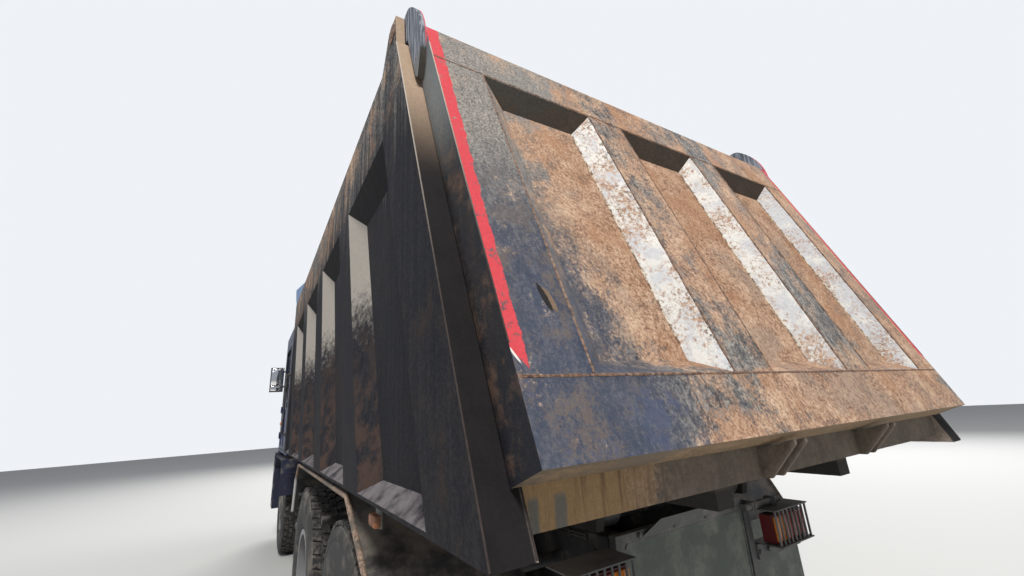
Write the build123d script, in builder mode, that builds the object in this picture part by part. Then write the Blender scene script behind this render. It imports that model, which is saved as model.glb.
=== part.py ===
from build123d import *
import os
from math import atan, cos, radians, sin

# Three-axle cab-over dump truck with a steel quarry body whose rear leans forward.
# Millimetres: X forward, Y to the driver's left, Z up, the origin on the ground mid-truck.
os.makedirs("parts", exist_ok=True)

# Whole truck
body_width = 2500
half_body = body_width / 2
sill_z = 1265               # lower edge of the body's sides above the ground
rear_run = 0.362            # forward lean of the body's rear for each unit of height
slant = atan(rear_run)

# Tail gate, measured in its own leaning plane, upwards from the foot of its inner face
gate_thick = 118
gate_inset = 73             # from the body's side to the gate's edge
gate_width = body_width - 2 * gate_inset
gate_low = 128
gate_high = 1779
gate_gap = 6                # between the gate's inner face and the body's rear posts
gate_recess = 60            # depth of the pressed panels
gate_flank = 92             # run of the panels' sloping edges
gate_rib_y = 353            # middle of each rib, either side of the middle
gate_rib_half = 97
gate_border = 200           # width of the frame at each side
gate_panel_low = 306        # where the lower box begins to slope into the panels
gate_box_slope = 67
gate_panel_high = 1550
gate_pin_up = 1993          # the hinge line in the gate's plane
gate_pin_in = 44            # and how far inside its inner face
gate_pin_r = 25
ear_thick = 25
ear_gap = 3                 # between the gate's edge and its ears
running_gap = 0.1           # radial clearance of a pin or shaft that turns

# Body: places along it are measured from the foot of the leaning rear
bed_length = 5050
wall = 100                  # whole thickness of a side with its ribs
side_recess = 60
side_flank = 150            # run of the sloping edges beside the ribs
side_shelf = 48             # height of the sloping shelf along the sill
sill_edge = 12
rail_low = 1383             # the top rail, above the sill
rail_high = 1740
post_width = 310
rib_first = 1050
rib_pitch = 1010
rib_width = 290
rib_count = 4
front_post = 170
front_wall = 60
floor_top = 145             # load floor above the sill
floor_plate = 10
bearer_pitch = 505
bearer_width = 70
long_member_y = 385
long_member_width = 80
long_member_drop = 55       # below the sill's lower edge
crossmember_rise = 30       # lower edge of the rear crossmember above the sill's
gusset_y = (310, 250, -330, -390)
gusset_thick = 12
gusset_rear = -50           # how far the gussets reach, from the foot
canopy_start = bed_length - 1250
canopy_front = bed_length + 900
canopy_high = 2200
canopy_plate = 10
canopy_side = 20
canopy_nose = 170           # how far its lower front corner stands back
canopy_nose_z = 1990
canopy_foot_z = 1560

# Chassis
frame_half = 430
frame_top = 1055
frame_deep = 270
frame_flange = 80
frame_plate = 9
frame_rear = 640            # from the foot, as all places along the chassis
subframe_deep = 150
subframe_front = bed_length - 150
hinge_x = 700
hinge_z = 1140
hinge_r = 35
hinge_boss = 65             # radius of the subframe's rounded end
hinge_lug = 40
rear_axle = 1500
axle_spread = 1400          # between the two driven axles
drive_axle = rear_axle + axle_spread
bogie = rear_axle + axle_spread / 2

# Wheels
tyre_r = 555
tyre_width = 300
rim_r = 262
rim_flange = 282
rim_wall = 12
rim_inset = 14              # how far each rim edge lies inside the tyre's width
twin_gap = 345              # between the middles of a pair of tyres
twin_outer = half_body - 165
twin_y = (twin_outer - twin_gap, twin_outer)
twin_mid = sum(twin_y) / 2
front_tyre_y = half_body - 230
kingpin_y = front_tyre_y - 190
hub_r = 150
rear_stub_r = 65
front_stub_r = 45

# Cab
cab_gap = 570               # between the body and the cab
cab_length = 1720
cab_rear = bed_length + cab_gap
cab_front = cab_rear + cab_length
front_axle = cab_front - 1190
frame_front = cab_front - 90
cab_half = half_body - 60
cab_low = 1200
cab_high = 2960
cab_wall = 45
cab_floor_z = 1290
belt_z = 1950               # lower edge of the windscreen
header_z = 2780
screen_rake = 160           # how far the windscreen's top stands back
door_rear = cab_rear + 510
door_front = cab_front - 210
door_low = 1235
door_gap = 8
door_thick = 37
knuckle_out = 14            # from the cab's side out to the doors' hinge line
knuckle_r = 10
knuckle_pin_r = 5
knuckle_long = 60
knuckle_lug = 16
knuckle_play = 2
knuckle_z = (1400, 1780)    # lower ends of each door's knuckles

# Hoist between the cab and the body
hoist_foot = (bed_length + 430, 900)
hoist_eye = (bed_length + 320, 2150)
hoist_pin = 24
hoist_radii = (100, 86, 72, 59, 46)
stage_gap = 0.3             # radial gap between one tube and the next
hoist_slot = 38             # half the width of the open eye, which lets the pin drift
hoist_cheek = 62            # from the middle to the inside of each cheek

# Front end, and the place of the body's foot when the origin lies midway along the truck
bumper_front = cab_front + 67
bumper_deep = 210
tow_reach = 60              # how far the towing jaw stands out of the bumper
nose = bumper_front + tow_reach
rear_reach = gate_thick * cos(slant) - gate_low * sin(slant)
overall_length = nose + rear_reach
foot_x = rear_reach - overall_length / 2


def at(distance):
    """A place along the truck, from its distance ahead of the body's foot."""
    return foot_x + distance


def block(x, y, z, mode=Mode.ADD):
    """A plate or a block between two places along each axis."""
    with Locations(((x[0] + x[1]) / 2, (y[0] + y[1]) / 2, (z[0] + z[1]) / 2)):
        Box(x[1] - x[0], y[1] - y[0], z[1] - z[0], mode=mode)


def side_plate(outline, y, mode=Mode.ADD):
    """A plate cut to an outline seen from the side, between two places across the truck."""
    with BuildSketch(Plane.XZ.offset(-y[1])) as profile:
        Polygon(*outline, align=None)
    extrude(profile.sketch, amount=y[1] - y[0], mode=mode)


def cross_bar(radius, x, z, y, mode=Mode.ADD):
    """A round bar across the truck."""
    with BuildSketch(Plane.XZ.offset(-y[1])) as profile:
        with Locations((x, z)):
            Circle(radius)
    extrude(profile.sketch, amount=y[1] - y[0], mode=mode)


def upright_bar(radius, x, y, z, mode=Mode.ADD):
    """A round bar that stands upright."""
    with BuildSketch(Plane.XY.offset(z[0])) as profile:
        with Locations((x, y)):
            Circle(radius)
    extrude(profile.sketch, amount=z[1] - z[0], mode=mode)


def rod(start, end, radius, mode=Mode.ADD):
    """A round rod from one point to another."""
    run = Vector(end) - Vector(start)
    with BuildSketch(Plane(origin=start, z_dir=run)) as profile:
        Circle(radius)
    extrude(profile.sketch, amount=run.length, mode=mode)


def keep(piece, name):
    """Labels a finished piece and writes it."""
    piece.label = name
    export_step(piece, f"parts/{name}.step")


def mirrored(piece):
    """The same piece on the truck's other side."""
    with BuildPart() as other:
        mirror(piece, about=Plane.XZ)
    return other.part


# Tail gate: one welded frame with three pressed panels
def gate_point(up, out):
    """A point of the gate's plane, as a place along the truck and a height."""
    return (foot_x + up * sin(slant) - out * cos(slant), sill_z + up * cos(slant) + out * sin(slant))


pin_x, pin_z = gate_point(gate_pin_up, -gate_pin_in)
gate_plane = Plane(origin=(foot_x, 0, sill_z), x_dir=(0, -1, 0), z_dir=(-cos(slant), 0, sin(slant)))
gate_panels = (
    # one side, other side
    (-gate_width / 2 + gate_border, -gate_rib_y - gate_rib_half),
    (-gate_rib_y + gate_rib_half, gate_rib_y - gate_rib_half),
    (gate_rib_y + gate_rib_half, gate_width / 2 - gate_border),
)
with BuildPart() as tailgate:
    with BuildSketch(gate_plane):
        with Locations((0, (gate_low + gate_high) / 2)):
            Rectangle(gate_width, gate_high - gate_low)
    extrude(amount=gate_thick)
    for near, far in gate_panels:
        with BuildSketch(gate_plane.offset(gate_thick)):
            Polygon((near, gate_panel_low), (far, gate_panel_low), (far, gate_panel_high),
                    (near, gate_panel_high), align=None)
        with BuildSketch(gate_plane.offset(gate_thick - gate_recess)):
            low = gate_panel_low + gate_box_slope
            high = gate_panel_high - gate_flank
            Polygon((near + gate_flank, low), (far - gate_flank, low), (far - gate_flank, high),
                    (near + gate_flank, high), align=None)
        loft(ruled=True, mode=Mode.SUBTRACT)
    ear_y = gate_width / 2
    for hand in (-1, 1):
        with BuildSketch(Plane.XZ.offset(-hand * ear_y - (ear_thick if hand > 0 else 0))):
            with BuildLine():
                foot = gate_point(1560, 20)
                rear = gate_point(1720, 112)
                crown = gate_point(2025, 70)
                ThreePointArc(foot, rear, crown)
                ThreePointArc(crown, gate_point(2045, -40), gate_point(1975, -95))
                Polyline(gate_point(1975, -95), gate_point(1880, 5), gate_point(1600, 5), foot)
            make_face()
        extrude(amount=ear_thick)
    cross_bar(gate_pin_r + running_gap, pin_x, pin_z, (-body_width, body_width), Mode.SUBTRACT)
keep(tailgate.part, "tailgate")


# Sides of the body: ribs and posts pressed proud of the panels, all leaning like the rear
def leaning(distance, height):
    """A point of a side, from its place at the sill and its height above the sill."""
    return (at(distance) + rear_run * height, sill_z + height)


inner_half = half_body - wall
rear_gap = gate_gap / cos(slant)
rib_starts = [rib_first + n * rib_pitch for n in range(rib_count)]
pocket_rears = [post_width] + [start + rib_width for start in rib_starts[:-1]]
last_rear = rib_starts[-1] + rib_width
front_post_x = at(bed_length - front_post)
cheek_y = ((inner_half, ear_y - ear_gap - 5), (ear_y + ear_thick + ear_gap, half_body - 8))
with BuildPart() as bed_side_left:
    outline = [leaning(rear_gap, 0), (at(bed_length), sill_z), (at(bed_length), sill_z + rail_high),
               leaning(rear_gap, rail_high)]
    side_plate(outline, (inner_half, half_body))
    for rear, front in zip(pocket_rears, rib_starts):
        with BuildSketch(Plane.XZ.offset(-half_body)):
            Polygon(leaning(rear, sill_edge), leaning(front, sill_edge), leaning(front, rail_low),
                    leaning(rear, rail_low), align=None)
        with BuildSketch(Plane.XZ.offset(side_recess - half_body)):
            low = sill_edge + side_shelf
            high = rail_low - side_flank
            Polygon(leaning(rear + side_flank, low), leaning(front - side_flank, low),
                    leaning(front - side_flank, high), leaning(rear + side_flank, high), align=None)
        loft(ruled=True, mode=Mode.SUBTRACT)
    corner_z = (front_post_x - at(last_rear)) / rear_run
    with BuildSketch(Plane.XZ.offset(-half_body)):
        Polygon(leaning(last_rear, sill_edge), (front_post_x, sill_z + sill_edge),
                (front_post_x, sill_z + corner_z), align=None)
    with BuildSketch(Plane.XZ.offset(side_recess - half_body)):
        Polygon(leaning(last_rear + side_flank / 2, sill_edge + side_shelf),
                (front_post_x - side_shelf, sill_z + sill_edge + side_shelf),
                (front_post_x - side_shelf, sill_z + corner_z - 4 * side_shelf), align=None)
    loft(ruled=True, mode=Mode.SUBTRACT)
    for y in cheek_y:
        top_z = sill_z + rail_high
        side_plate([(pin_x - 60, top_z), (pin_x + 190, top_z), (pin_x + 60, pin_z + 60),
                    (pin_x - 45, pin_z + 60)], y)
    cross_bar(gate_pin_r, pin_x, pin_z, (cheek_y[0][0], cheek_y[1][1]))
keep(bed_side_left.part, "bed_side_left")
bed_side_right = mirrored(bed_side_left.part)
keep(bed_side_right, "bed_side_right")

# Floor with its bearers, the rear crossmember and the hinge lugs
floor_z = sill_z + floor_top
floor_rear = at(rear_run * floor_top + rear_gap)
long_member_z = sill_z - long_member_drop
long_y = (long_member_y - long_member_width / 2, long_member_y + long_member_width / 2)
lug_y = (frame_half + 15, frame_half + 15 + hinge_lug)
with BuildPart() as bed_floor:
    plate_low = floor_z - floor_plate
    block((floor_rear, at(bed_length - front_wall)), (-inner_half, inner_half), (plate_low, floor_z))
    crossmember_low = sill_z + crossmember_rise
    block((floor_rear, floor_rear + 90), (-inner_half, inner_half), (crossmember_low, plate_low))
    for y in gusset_y:
        side_plate([(floor_rear + 2, crossmember_low), (floor_rear + 2, crossmember_low + 78),
                    (at(gusset_rear), crossmember_low + 106), (at(gusset_rear), crossmember_low + 94),
                    (floor_rear - 24, crossmember_low)], (y - gusset_thick / 2, y + gusset_thick / 2))
    for n in range(1, int(bed_length / bearer_pitch)):
        x = floor_rear + n * bearer_pitch
        block((x, x + bearer_width), (-inner_half, inner_half), (sill_z + 30, plate_low))
    for y in (long_y, (-long_y[1], -long_y[0])):
        block((floor_rear + 90, at(bed_length - front_wall)), y, (long_member_z, plate_low))
    for y in (lug_y, (-lug_y[1], -lug_y[0])):
        side_plate([(at(hinge_x) - 150, plate_low), (at(hinge_x) + 260, plate_low),
                    (at(hinge_x) + 75, hinge_z - 60), (at(hinge_x) - 65, hinge_z - 60)], y)
    cross_bar(hinge_r + running_gap, at(hinge_x), hinge_z, (-half_body, half_body), Mode.SUBTRACT)
keep(bed_floor.part, "bed_floor")

# Front wall with its stiffeners and the hoist's upper bracket
front_x = at(bed_length)
cheek_thick = 25
eye_x, eye_z = at(hoist_eye[0]), hoist_eye[1]


def canopy_top(distance):
    """Height of the canopy's sloping top edge at a place along the body."""
    share = (distance - canopy_start) / (canopy_front - canopy_start)
    return sill_z + rail_high + share * (canopy_high - rail_high)


with BuildPart() as bed_front_wall:
    wall_top = canopy_top(bed_length - front_wall) - canopy_plate
    block((front_x - front_wall, front_x), (-inner_half, inner_half), (floor_z - floor_plate, wall_top))
    for y in (-760, -330, 330, 760):
        block((front_x, front_x + 70), (y - 45, y + 45), (floor_z, eye_z + 500))
    for hand in (-1, 1):
        y = sorted((hand * hoist_cheek, hand * (hoist_cheek + cheek_thick)))
        side_plate([(front_x, eye_z - 45), (eye_x + 45, eye_z - 45), (eye_x + 45, eye_z + 55),
                    (front_x, eye_z + 330)], y)
    cross_bar(hoist_pin, eye_x, eye_z, (-hoist_cheek - cheek_thick - 8, hoist_cheek + cheek_thick + 8))
keep(bed_front_wall.part, "bed_front_wall")

# Canopy over the back of the cab
with BuildPart() as bed_canopy:
    for hand in (-1, 1):
        y = sorted((hand * (half_body - 40), hand * (half_body - 40 - canopy_side)))
        side_plate([(at(canopy_start), sill_z + rail_high), (at(canopy_front), sill_z + canopy_high),
                    (at(canopy_front - canopy_nose), sill_z + canopy_nose_z),
                    (front_x, sill_z + canopy_foot_z), (front_x, sill_z + rail_high)], y)
    reach = half_body - 40 - canopy_side
    rear = bed_length - front_wall
    tip_z = sill_z + canopy_high
    side_plate([(at(rear), canopy_top(rear) - canopy_plate), (at(canopy_front), tip_z - canopy_plate),
                (at(canopy_front), tip_z), (at(rear), canopy_top(rear))], (-reach, reach))
    for distance in (bed_length + 10, bed_length + 440, canopy_front - 70):
        low, high = canopy_top(distance), canopy_top(distance + 60)
        near, far = at(distance), at(distance + 60)
        side_plate([(near, low - 70), (far, high - 70), (far, high - canopy_plate), (near, low - canopy_plate)],
                   (-reach, reach))
keep(bed_canopy.part, "bed_canopy")

# Chassis frame: two channel rails joined by crossmembers
frame_low = frame_top - frame_deep
with BuildPart() as chassis_frame:
    for hand in (-1, 1):
        y = sorted((hand * (frame_half - frame_flange), hand * frame_half))
        block((at(frame_rear), at(frame_front)), y, (frame_low, frame_top))
        y = sorted((hand * (frame_half - frame_flange), hand * (frame_half - frame_plate)))
        block((at(frame_rear), at(frame_front)), y, (frame_low + frame_plate, frame_top - frame_plate),
              Mode.SUBTRACT)
    web = frame_half - frame_plate
    for x, length, low, high in (
        (frame_rear, 60, frame_low + 20, frame_top - 30),
        (rear_axle + 60, 90, frame_top - 110, frame_top - 15),
        (bogie - 100, 200, frame_top - 130, frame_top - 15),
        (drive_axle + 460, 90, frame_top - 110, frame_top - 15),
        (front_axle - 1700, 90, frame_top - 60, frame_top - 15),
        (hoist_foot[0] - 90, 180, frame_low, hoist_foot[1] - 75),
        (frame_front - 160, 120, frame_low + 10, frame_top - 40),
    ):
        block((at(x), at(x + length)), (-web, web), (low, high))
    for hand in (-1, 1):
        y = sorted((hand * frame_half, hand * (frame_half + 30)))
        side_plate([(at(bogie - 190), frame_low + 120), (at(bogie + 190), frame_low + 120),
                    (at(bogie + 90), tyre_r - 60), (at(bogie - 90), tyre_r - 60)], y)
        cross_bar(60, at(bogie), tyre_r, sorted((hand * (frame_half + 30), hand * (frame_half + 130))))
        y = sorted((hand * (hoist_cheek), hand * (hoist_cheek + cheek_thick)))
        x, z = at(hoist_foot[0]), hoist_foot[1]
        foot_z = frame_low + 10
        side_plate([(x - 70, foot_z), (x + 70, foot_z), (x + 45, z + 50), (x - 45, z + 50)], y)
    cross_bar(50, at(bogie), frame_low - 5, (-frame_half, frame_half))
    cross_bar(hoist_pin, x, z, (-hoist_cheek - cheek_thick, hoist_cheek + cheek_thick))
keep(chassis_frame.part, "chassis_frame")

# Subframe that carries the body, with the tipping pin at its rear end
sub_top = frame_top + subframe_deep
with BuildPart() as subframe:
    for hand in (-1, 1):
        y = sorted((hand * (frame_half - frame_flange), hand * frame_half))
        block((at(hinge_x), at(subframe_front)), y, (frame_top, sub_top))
        block((at(hinge_x) - 1, at(hinge_x) + hinge_boss), y, (frame_top - 1, hinge_z - hinge_boss),
              Mode.SUBTRACT)
        cross_bar(hinge_boss, at(hinge_x), hinge_z, y)
    rail_in = frame_half - frame_flange
    for x in (hinge_x + 60, rear_axle, bogie, drive_axle + 200, subframe_front - 800):
        block((at(x), at(x + 80)), (-rail_in, rail_in), (frame_top + 20, sub_top - 20))
    cross_bar(hinge_r, at(hinge_x), hinge_z, (-lug_y[1] - 15, lug_y[1] + 15))
keep(subframe.part, "subframe")

# Engine with its gearbox, one heavy mass under and behind the cab floor
gearbox_rear = cab_rear - 870
with BuildPart() as engine:
    engine_x = (cab_rear + 140, cab_front - 470)
    block((at(engine_x[0]), at(engine_x[1])), (-300, 300), (640, 1440))
    block((at(gearbox_rear), at(engine_x[0])), (-190, 190), (640, frame_low - 5))
    for x in (engine_x[0] + 140, engine_x[1] - 270):
        block((at(x), at(x + 90)), (frame_plate - frame_half, frame_half - frame_plate), (870, 930))
keep(engine.part, "engine")

# Drive axles with the shafts that drive them
with BuildPart() as drive_axles:
    for x in (rear_axle, drive_axle):
        cross_bar(85, at(x), tyre_r, (-600, 600))
        cross_bar(rear_stub_r, at(x), tyre_r, (-twin_mid - 90, twin_mid + 90))
        with BuildSketch(Plane.YZ.offset(at(x) - 170)):
            with Locations((0, tyre_r)):
                Circle(215)
        extrude(amount=330)
        rod((at(x) + 100, 0, tyre_r + 30), (at(x) + 330, 0, tyre_r + 30), 90)
        for hand in (-1, 1):
            y = sorted((hand * 440, hand * 545))
            block((at(x) - 70, at(x) + 70), y, (tyre_r + 40, tyre_r + 105))
    rod((at(rear_axle) + 330, 0, tyre_r + 30), (at(drive_axle) - 170, 0, tyre_r + 30), 48)
    rod((at(drive_axle) + 330, 0, tyre_r + 30), (at(gearbox_rear) - 6, 0, 715), 52)
keep(drive_axles.part, "drive_axles")

# Leaf springs: a bogie pack each side on its trunnion, a pack each side over the front axle
with BuildPart() as leaf_springs:
    y = (frame_half + 30, frame_half + 115)
    top = tyre_r + 105
    side_plate([(at(rear_axle) - 60, top), (at(bogie) - 120, top + 20), (at(bogie) + 120, top + 20),
                (at(drive_axle) + 60, top), (at(drive_axle) + 60, top + 35), (at(bogie) + 150, top + 165),
                (at(bogie) - 150, top + 165), (at(rear_axle) - 60, top + 35)], y)
    block((at(bogie) - 80, at(bogie) + 80), y, (tyre_r + 60, top + 40))
    x = at(front_axle)
    y = (frame_half - frame_flange, frame_half)
    side_plate([(x - 760, frame_low - 65), (x - 90, 600), (x + 90, 600), (x + 760, frame_low - 65),
                (x + 760, frame_low - 45), (x + 90, 700), (x - 90, 700), (x - 760, frame_low - 45)], y)
    for end in (-720, 720):
        block((x + end - 35, x + end + 35), y, (frame_low - 50, frame_low))
    mirror(about=Plane.XZ)
keep(leaf_springs.part, "leaf_springs")

# Front axle beam, dropped between the springs
with BuildPart() as front_axle_beam:
    x = at(front_axle)
    block((x - 45, x + 45), (-520, 520), (470, 560))
    block((x - 75, x + 75), (-frame_half - 5, frame_flange - frame_half + 5), (560, 600))
    block((x - 75, x + 75), (frame_half - frame_flange - 5, frame_half + 5), (560, 600))
    for hand in (-1, 1):
        y = sorted((hand * 500, hand * (kingpin_y - 30)))
        block((x - 40, x + 40), y, (500, 610))
        upright_bar(50, x, hand * kingpin_y, (500, 610))
        upright_bar(22 + running_gap, x, hand * kingpin_y, (490, 620), Mode.SUBTRACT)
keep(front_axle_beam.part, "front_axle_beam")

# Knuckles that carry the front wheels, with an arm back to the tie rod
arm_back = 230
tie_z = 440
with BuildPart() as knuckle_left:
    x = at(front_axle)
    for low, high in ((450, 495), (615, 660)):
        block((x - 48, x + 48), (kingpin_y - 52, kingpin_y + 75), (low, high))
    block((x - 60, x + 60), (kingpin_y + 62, kingpin_y + 90), (450, 660))
    upright_bar(22, x, kingpin_y, (470, 640))
    cross_bar(70, x, tyre_r, (kingpin_y + 90, kingpin_y + 105))
    cross_bar(front_stub_r, x, tyre_r, (kingpin_y + 100, front_tyre_y + 90))
    with BuildSketch(Plane.XY.offset(475)):
        end = x - arm_back - 30
        Polygon((x - 40, kingpin_y - 45), (end, kingpin_y - 28), (end, kingpin_y + 28),
                (x - 40, kingpin_y + 40), align=None)
    extrude(amount=20)
    upright_bar(12, x - arm_back, kingpin_y, (tie_z - 30, 480))
keep(knuckle_left.part, "knuckle_left")
keep(mirrored(knuckle_left.part), "knuckle_right")

# Tie rod between the knuckles' arms
with BuildPart() as tie_rod:
    x = at(front_axle) - arm_back
    y = kingpin_y
    rod((x, 30 - y, tie_z), (x, y - 30, tie_z), 18)
    for hand in (-1, 1):
        upright_bar(34, x, hand * y, (tie_z - 22, tie_z + 22))
        upright_bar(12 + running_gap, x, hand * y, (tie_z - 40, tie_z + 40), Mode.SUBTRACT)
keep(tie_rod.part, "tie_rod")


# Wheels
def tyres(x, middles, name):
    """The tyres of one wheel body, each turned from its bead, bulging walls, shoulders and crown."""
    half = tyre_width / 2
    flank_r = rim_r + 150
    with BuildPart() as rubber:
        for middle in middles:
            with BuildSketch(Plane(origin=(at(x), 0, tyre_r), x_dir=(1, 0, 0), z_dir=(0, 0, 1))):
                with BuildLine():
                    beads = [(rim_r, middle + side * (half - 40)) for side in (-1, 1)]
                    flanks = [(flank_r, middle + side * half) for side in (-1, 1)]
                    shoulders = [(tyre_r - 28, middle + side * (half - 16)) for side in (-1, 1)]
                    crowns = [(tyre_r - 6, middle + side * (half - 38)) for side in (-1, 1)]
                    Line(beads[1], beads[0])
                    ThreePointArc(beads[0], flanks[0], shoulders[0])
                    Line(shoulders[0], crowns[0])
                    ThreePointArc(crowns[0], (tyre_r, middle), crowns[1])
                    Line(crowns[1], shoulders[1])
                    ThreePointArc(shoulders[1], flanks[1], beads[1])
                make_face()
            revolve(axis=Axis((at(x), 0, tyre_r), (0, 1, 0)))
    keep(rubber.part, name)


def rims(x, middles, disc_y, hub, stub_r, name):
    """Rims with their disc, hub and bore. Everything is measured outwards on the truck's left."""
    side = 1 if disc_y > 0 else -1
    with BuildPart() as wheel:
        half = tyre_width / 2 - rim_inset
        barrel = (min(middles) - half, max(middles) + half)
        cross_bar(rim_r - 0.3, at(x), tyre_r, barrel)
        for middle in middles:
            for edge in (middle - half, middle + half - rim_wall):
                cross_bar(rim_flange, at(x), tyre_r, (edge, edge + rim_wall))
        cross_bar(rim_r - rim_wall, at(x), tyre_r, (barrel[0] - 1, barrel[1] + 1), Mode.SUBTRACT)
        cross_bar(rim_r - 1, at(x), tyre_r, (disc_y - 13, disc_y + 13))
        with Locations(Plane(origin=(at(x), disc_y, tyre_r), x_dir=(1, 0, 0), z_dir=(0, 1, 0))):
            with PolarLocations(196, 10):
                Cylinder(27, 80, mode=Mode.SUBTRACT)
        low, high = hub
        cross_bar(hub_r, at(x), tyre_r, (low, high))
        bore = (low - 5, high - 45) if side > 0 else (low + 45, high + 5)
        cross_bar(stub_r + running_gap, at(x), tyre_r, bore, Mode.SUBTRACT)
    keep(wheel.part, name)


tyre_hand = (("left", 1), ("right", -1))
for name, hand in tyre_hand:
    y = hand * front_tyre_y
    tyres(front_axle, (y,), f"tyre_front_{name}")
    rims(front_axle, (y,), y + hand * 60, sorted((y - hand * 60, y + hand * 140)), front_stub_r,
         f"rim_front_{name}")
    for axle, x in (("middle", drive_axle), ("rear", rear_axle)):
        middles = tuple(hand * y for y in twin_y)
        tyres(x, middles, f"tyres_{axle}_{name}")
        hub = sorted((hand * (twin_mid - 250), hand * (twin_mid + 140)))
        rims(x, middles, hand * twin_mid, hub, rear_stub_r, f"rims_{axle}_{name}")

# Mudguards
guard_plate = 6
guard_y = (640, half_body - 14)
guard_z = 2 * tyre_r + 126
guard_rear = rear_axle - 630
guard_front = drive_axle + 760


def bent_plate(points, thick, y):
    """A plate bent along an outline seen from the side, its thickness inside the outline."""
    with BuildSketch(Plane.XZ.offset(-y[1])) as profile:
        with BuildLine():
            Polyline(*points)
            offset(amount=thick, side=Side.RIGHT)
        make_face()
    extrude(profile.sketch, amount=y[1] - y[0])


with BuildPart() as rear_mudguards:
    bent_plate([(at(guard_rear), 860), (at(guard_rear + 90), guard_z - 201), (at(guard_rear + 460), guard_z),
                (at(guard_front - 280), guard_z), (at(guard_front - 100), guard_z - 126),
                (at(guard_front), 860)], guard_plate, guard_y)
    for x, height in ((guard_rear + 68, 935), (bogie, 1000), (guard_front - 74, 975)):
        cross_bar(23, at(x), height, (frame_half, guard_y[1] - 30))
    upright_bar(15, at(bogie), 1000, (1000, guard_z - guard_plate))
    mirror(about=Plane.XZ)
keep(rear_mudguards.part, "rear_mudguards")

# Rear bar with its lamp guards and the frame of the central apron
lamp_y = (440, 720)
lamp_z = (885, 1000)
guard_bars = 9
apron_y = 375
apron_z = (560, 1060)
guard_reach = 150           # how far the lamp guards stand behind the frame's end
bar_z = (815, 875)
with BuildPart() as rear_bar:
    x = at(frame_rear)
    for hand in (-1, 1):
        y = sorted((hand * (apron_y + 5), hand * (frame_half - frame_plate)))
        block((x - 35, x - 5), y, (apron_z[0], apron_z[1]))
        block((x - 35, x), y, (bar_z[0] + 40, apron_z[1]))
        y = sorted((hand * (frame_half - frame_plate), hand * (lamp_y[1] + 60)))
        block((x - 45, x - 5), y, bar_z)
        y = sorted((hand * lamp_y[0], hand * lamp_y[1]))
        block((x - guard_reach, x - 5), y, (bar_z[1], bar_z[1] + 5))
        block((x - guard_reach, x - 5), y, (lamp_z[1] + 20, lamp_z[1] + 25))
        for n in range(guard_bars):
            bar_y = y[0] + 10 + n * (y[1] - y[0] - 20) / (guard_bars - 1)
            upright_bar(5, x - guard_reach + 10, bar_y, (bar_z[1] + 4, lamp_z[1] + 21))
    block((x - 35, x - 5), (-apron_y - 5, apron_y + 5), (apron_z[1] - 30, apron_z[1]))
keep(rear_bar.part, "rear_bar")

# Rubber apron between the rails and the flaps behind the rear wheels
with BuildPart() as mud_flaps:
    block((x - 25, x - 15), (-apron_y, apron_y), (apron_z[0], apron_z[1] - 30))
    for hand in (-1, 1):
        y = sorted((hand * (guard_y[0] + 10), hand * (guard_y[1] - 10)))
        block((at(guard_rear) - 10, at(guard_rear)), y, (420, 860))
keep(mud_flaps.part, "mud_flaps")

with BuildPart() as tail_lamps:
    for hand in (-1, 1):
        y = sorted((hand * (lamp_y[0] + 15), hand * (lamp_y[1] - 15)))
        lens_x = (x - guard_reach + 30, x - guard_reach + 90)
        block(lens_x, y, lamp_z)
        y = sorted((hand * (lamp_y[0] + 40), hand * (lamp_y[0] + 80)))
        block(lens_x, y, (bar_z[1] + 5, lamp_z[0]))
keep(tail_lamps.part, "tail_lamps")

# Fuel tank on the right, batteries and air tanks on the left, silencer behind the left front wheel
side_in = frame_half + 40
tank_x = (drive_axle + 880, front_axle - 1170)
battery_long = 620
silencer_long = 360
with BuildPart() as fuel_tank:
    with BuildSketch(Plane.YZ.offset(at(tank_x[0]))):
        with Locations((-side_in - 320, 760)):
            RectangleRounded(640, 560, 120)
    extrude(amount=tank_x[1] - tank_x[0])
    for share in (0.1, 0.46, 0.82):
        x = at(tank_x[0] + share * (tank_x[1] - tank_x[0]))
        block((x, x + 60), (-side_in - 60, -frame_half), (900, 1000))
keep(fuel_tank.part, "fuel_tank")

with BuildPart() as battery_box:
    air_tank_x = (tank_x[0] + battery_long, tank_x[1] - 60)
    block((at(tank_x[0]), at(air_tank_x[0])), (side_in, side_in + 560), (520, 1000))
    for z in (640, 880):
        with BuildSketch(Plane.YZ.offset(at(air_tank_x[0]))):
            with Locations((side_in + 150, z), (side_in + 400, z)):
                Circle(105)
        extrude(amount=air_tank_x[1] - air_tank_x[0])
    for x in (tank_x[0] + 120, air_tank_x[0] - 160, air_tank_x[1] - 120):
        block((at(x), at(x + 50)), (frame_half, side_in + 160), (900, 960))
keep(battery_box.part, "battery_box")

with BuildPart() as silencer:
    x = tank_x[1] + 30
    with BuildSketch(Plane.YZ.offset(at(x))):
        with Locations((side_in + 300, 800)):
            RectangleRounded(520, 460, 90)
    extrude(amount=silencer_long)
    block((at(x + 90), at(x + 270)), (frame_half, side_in + 60), (900, 960))
keep(silencer.part, "silencer")

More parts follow.
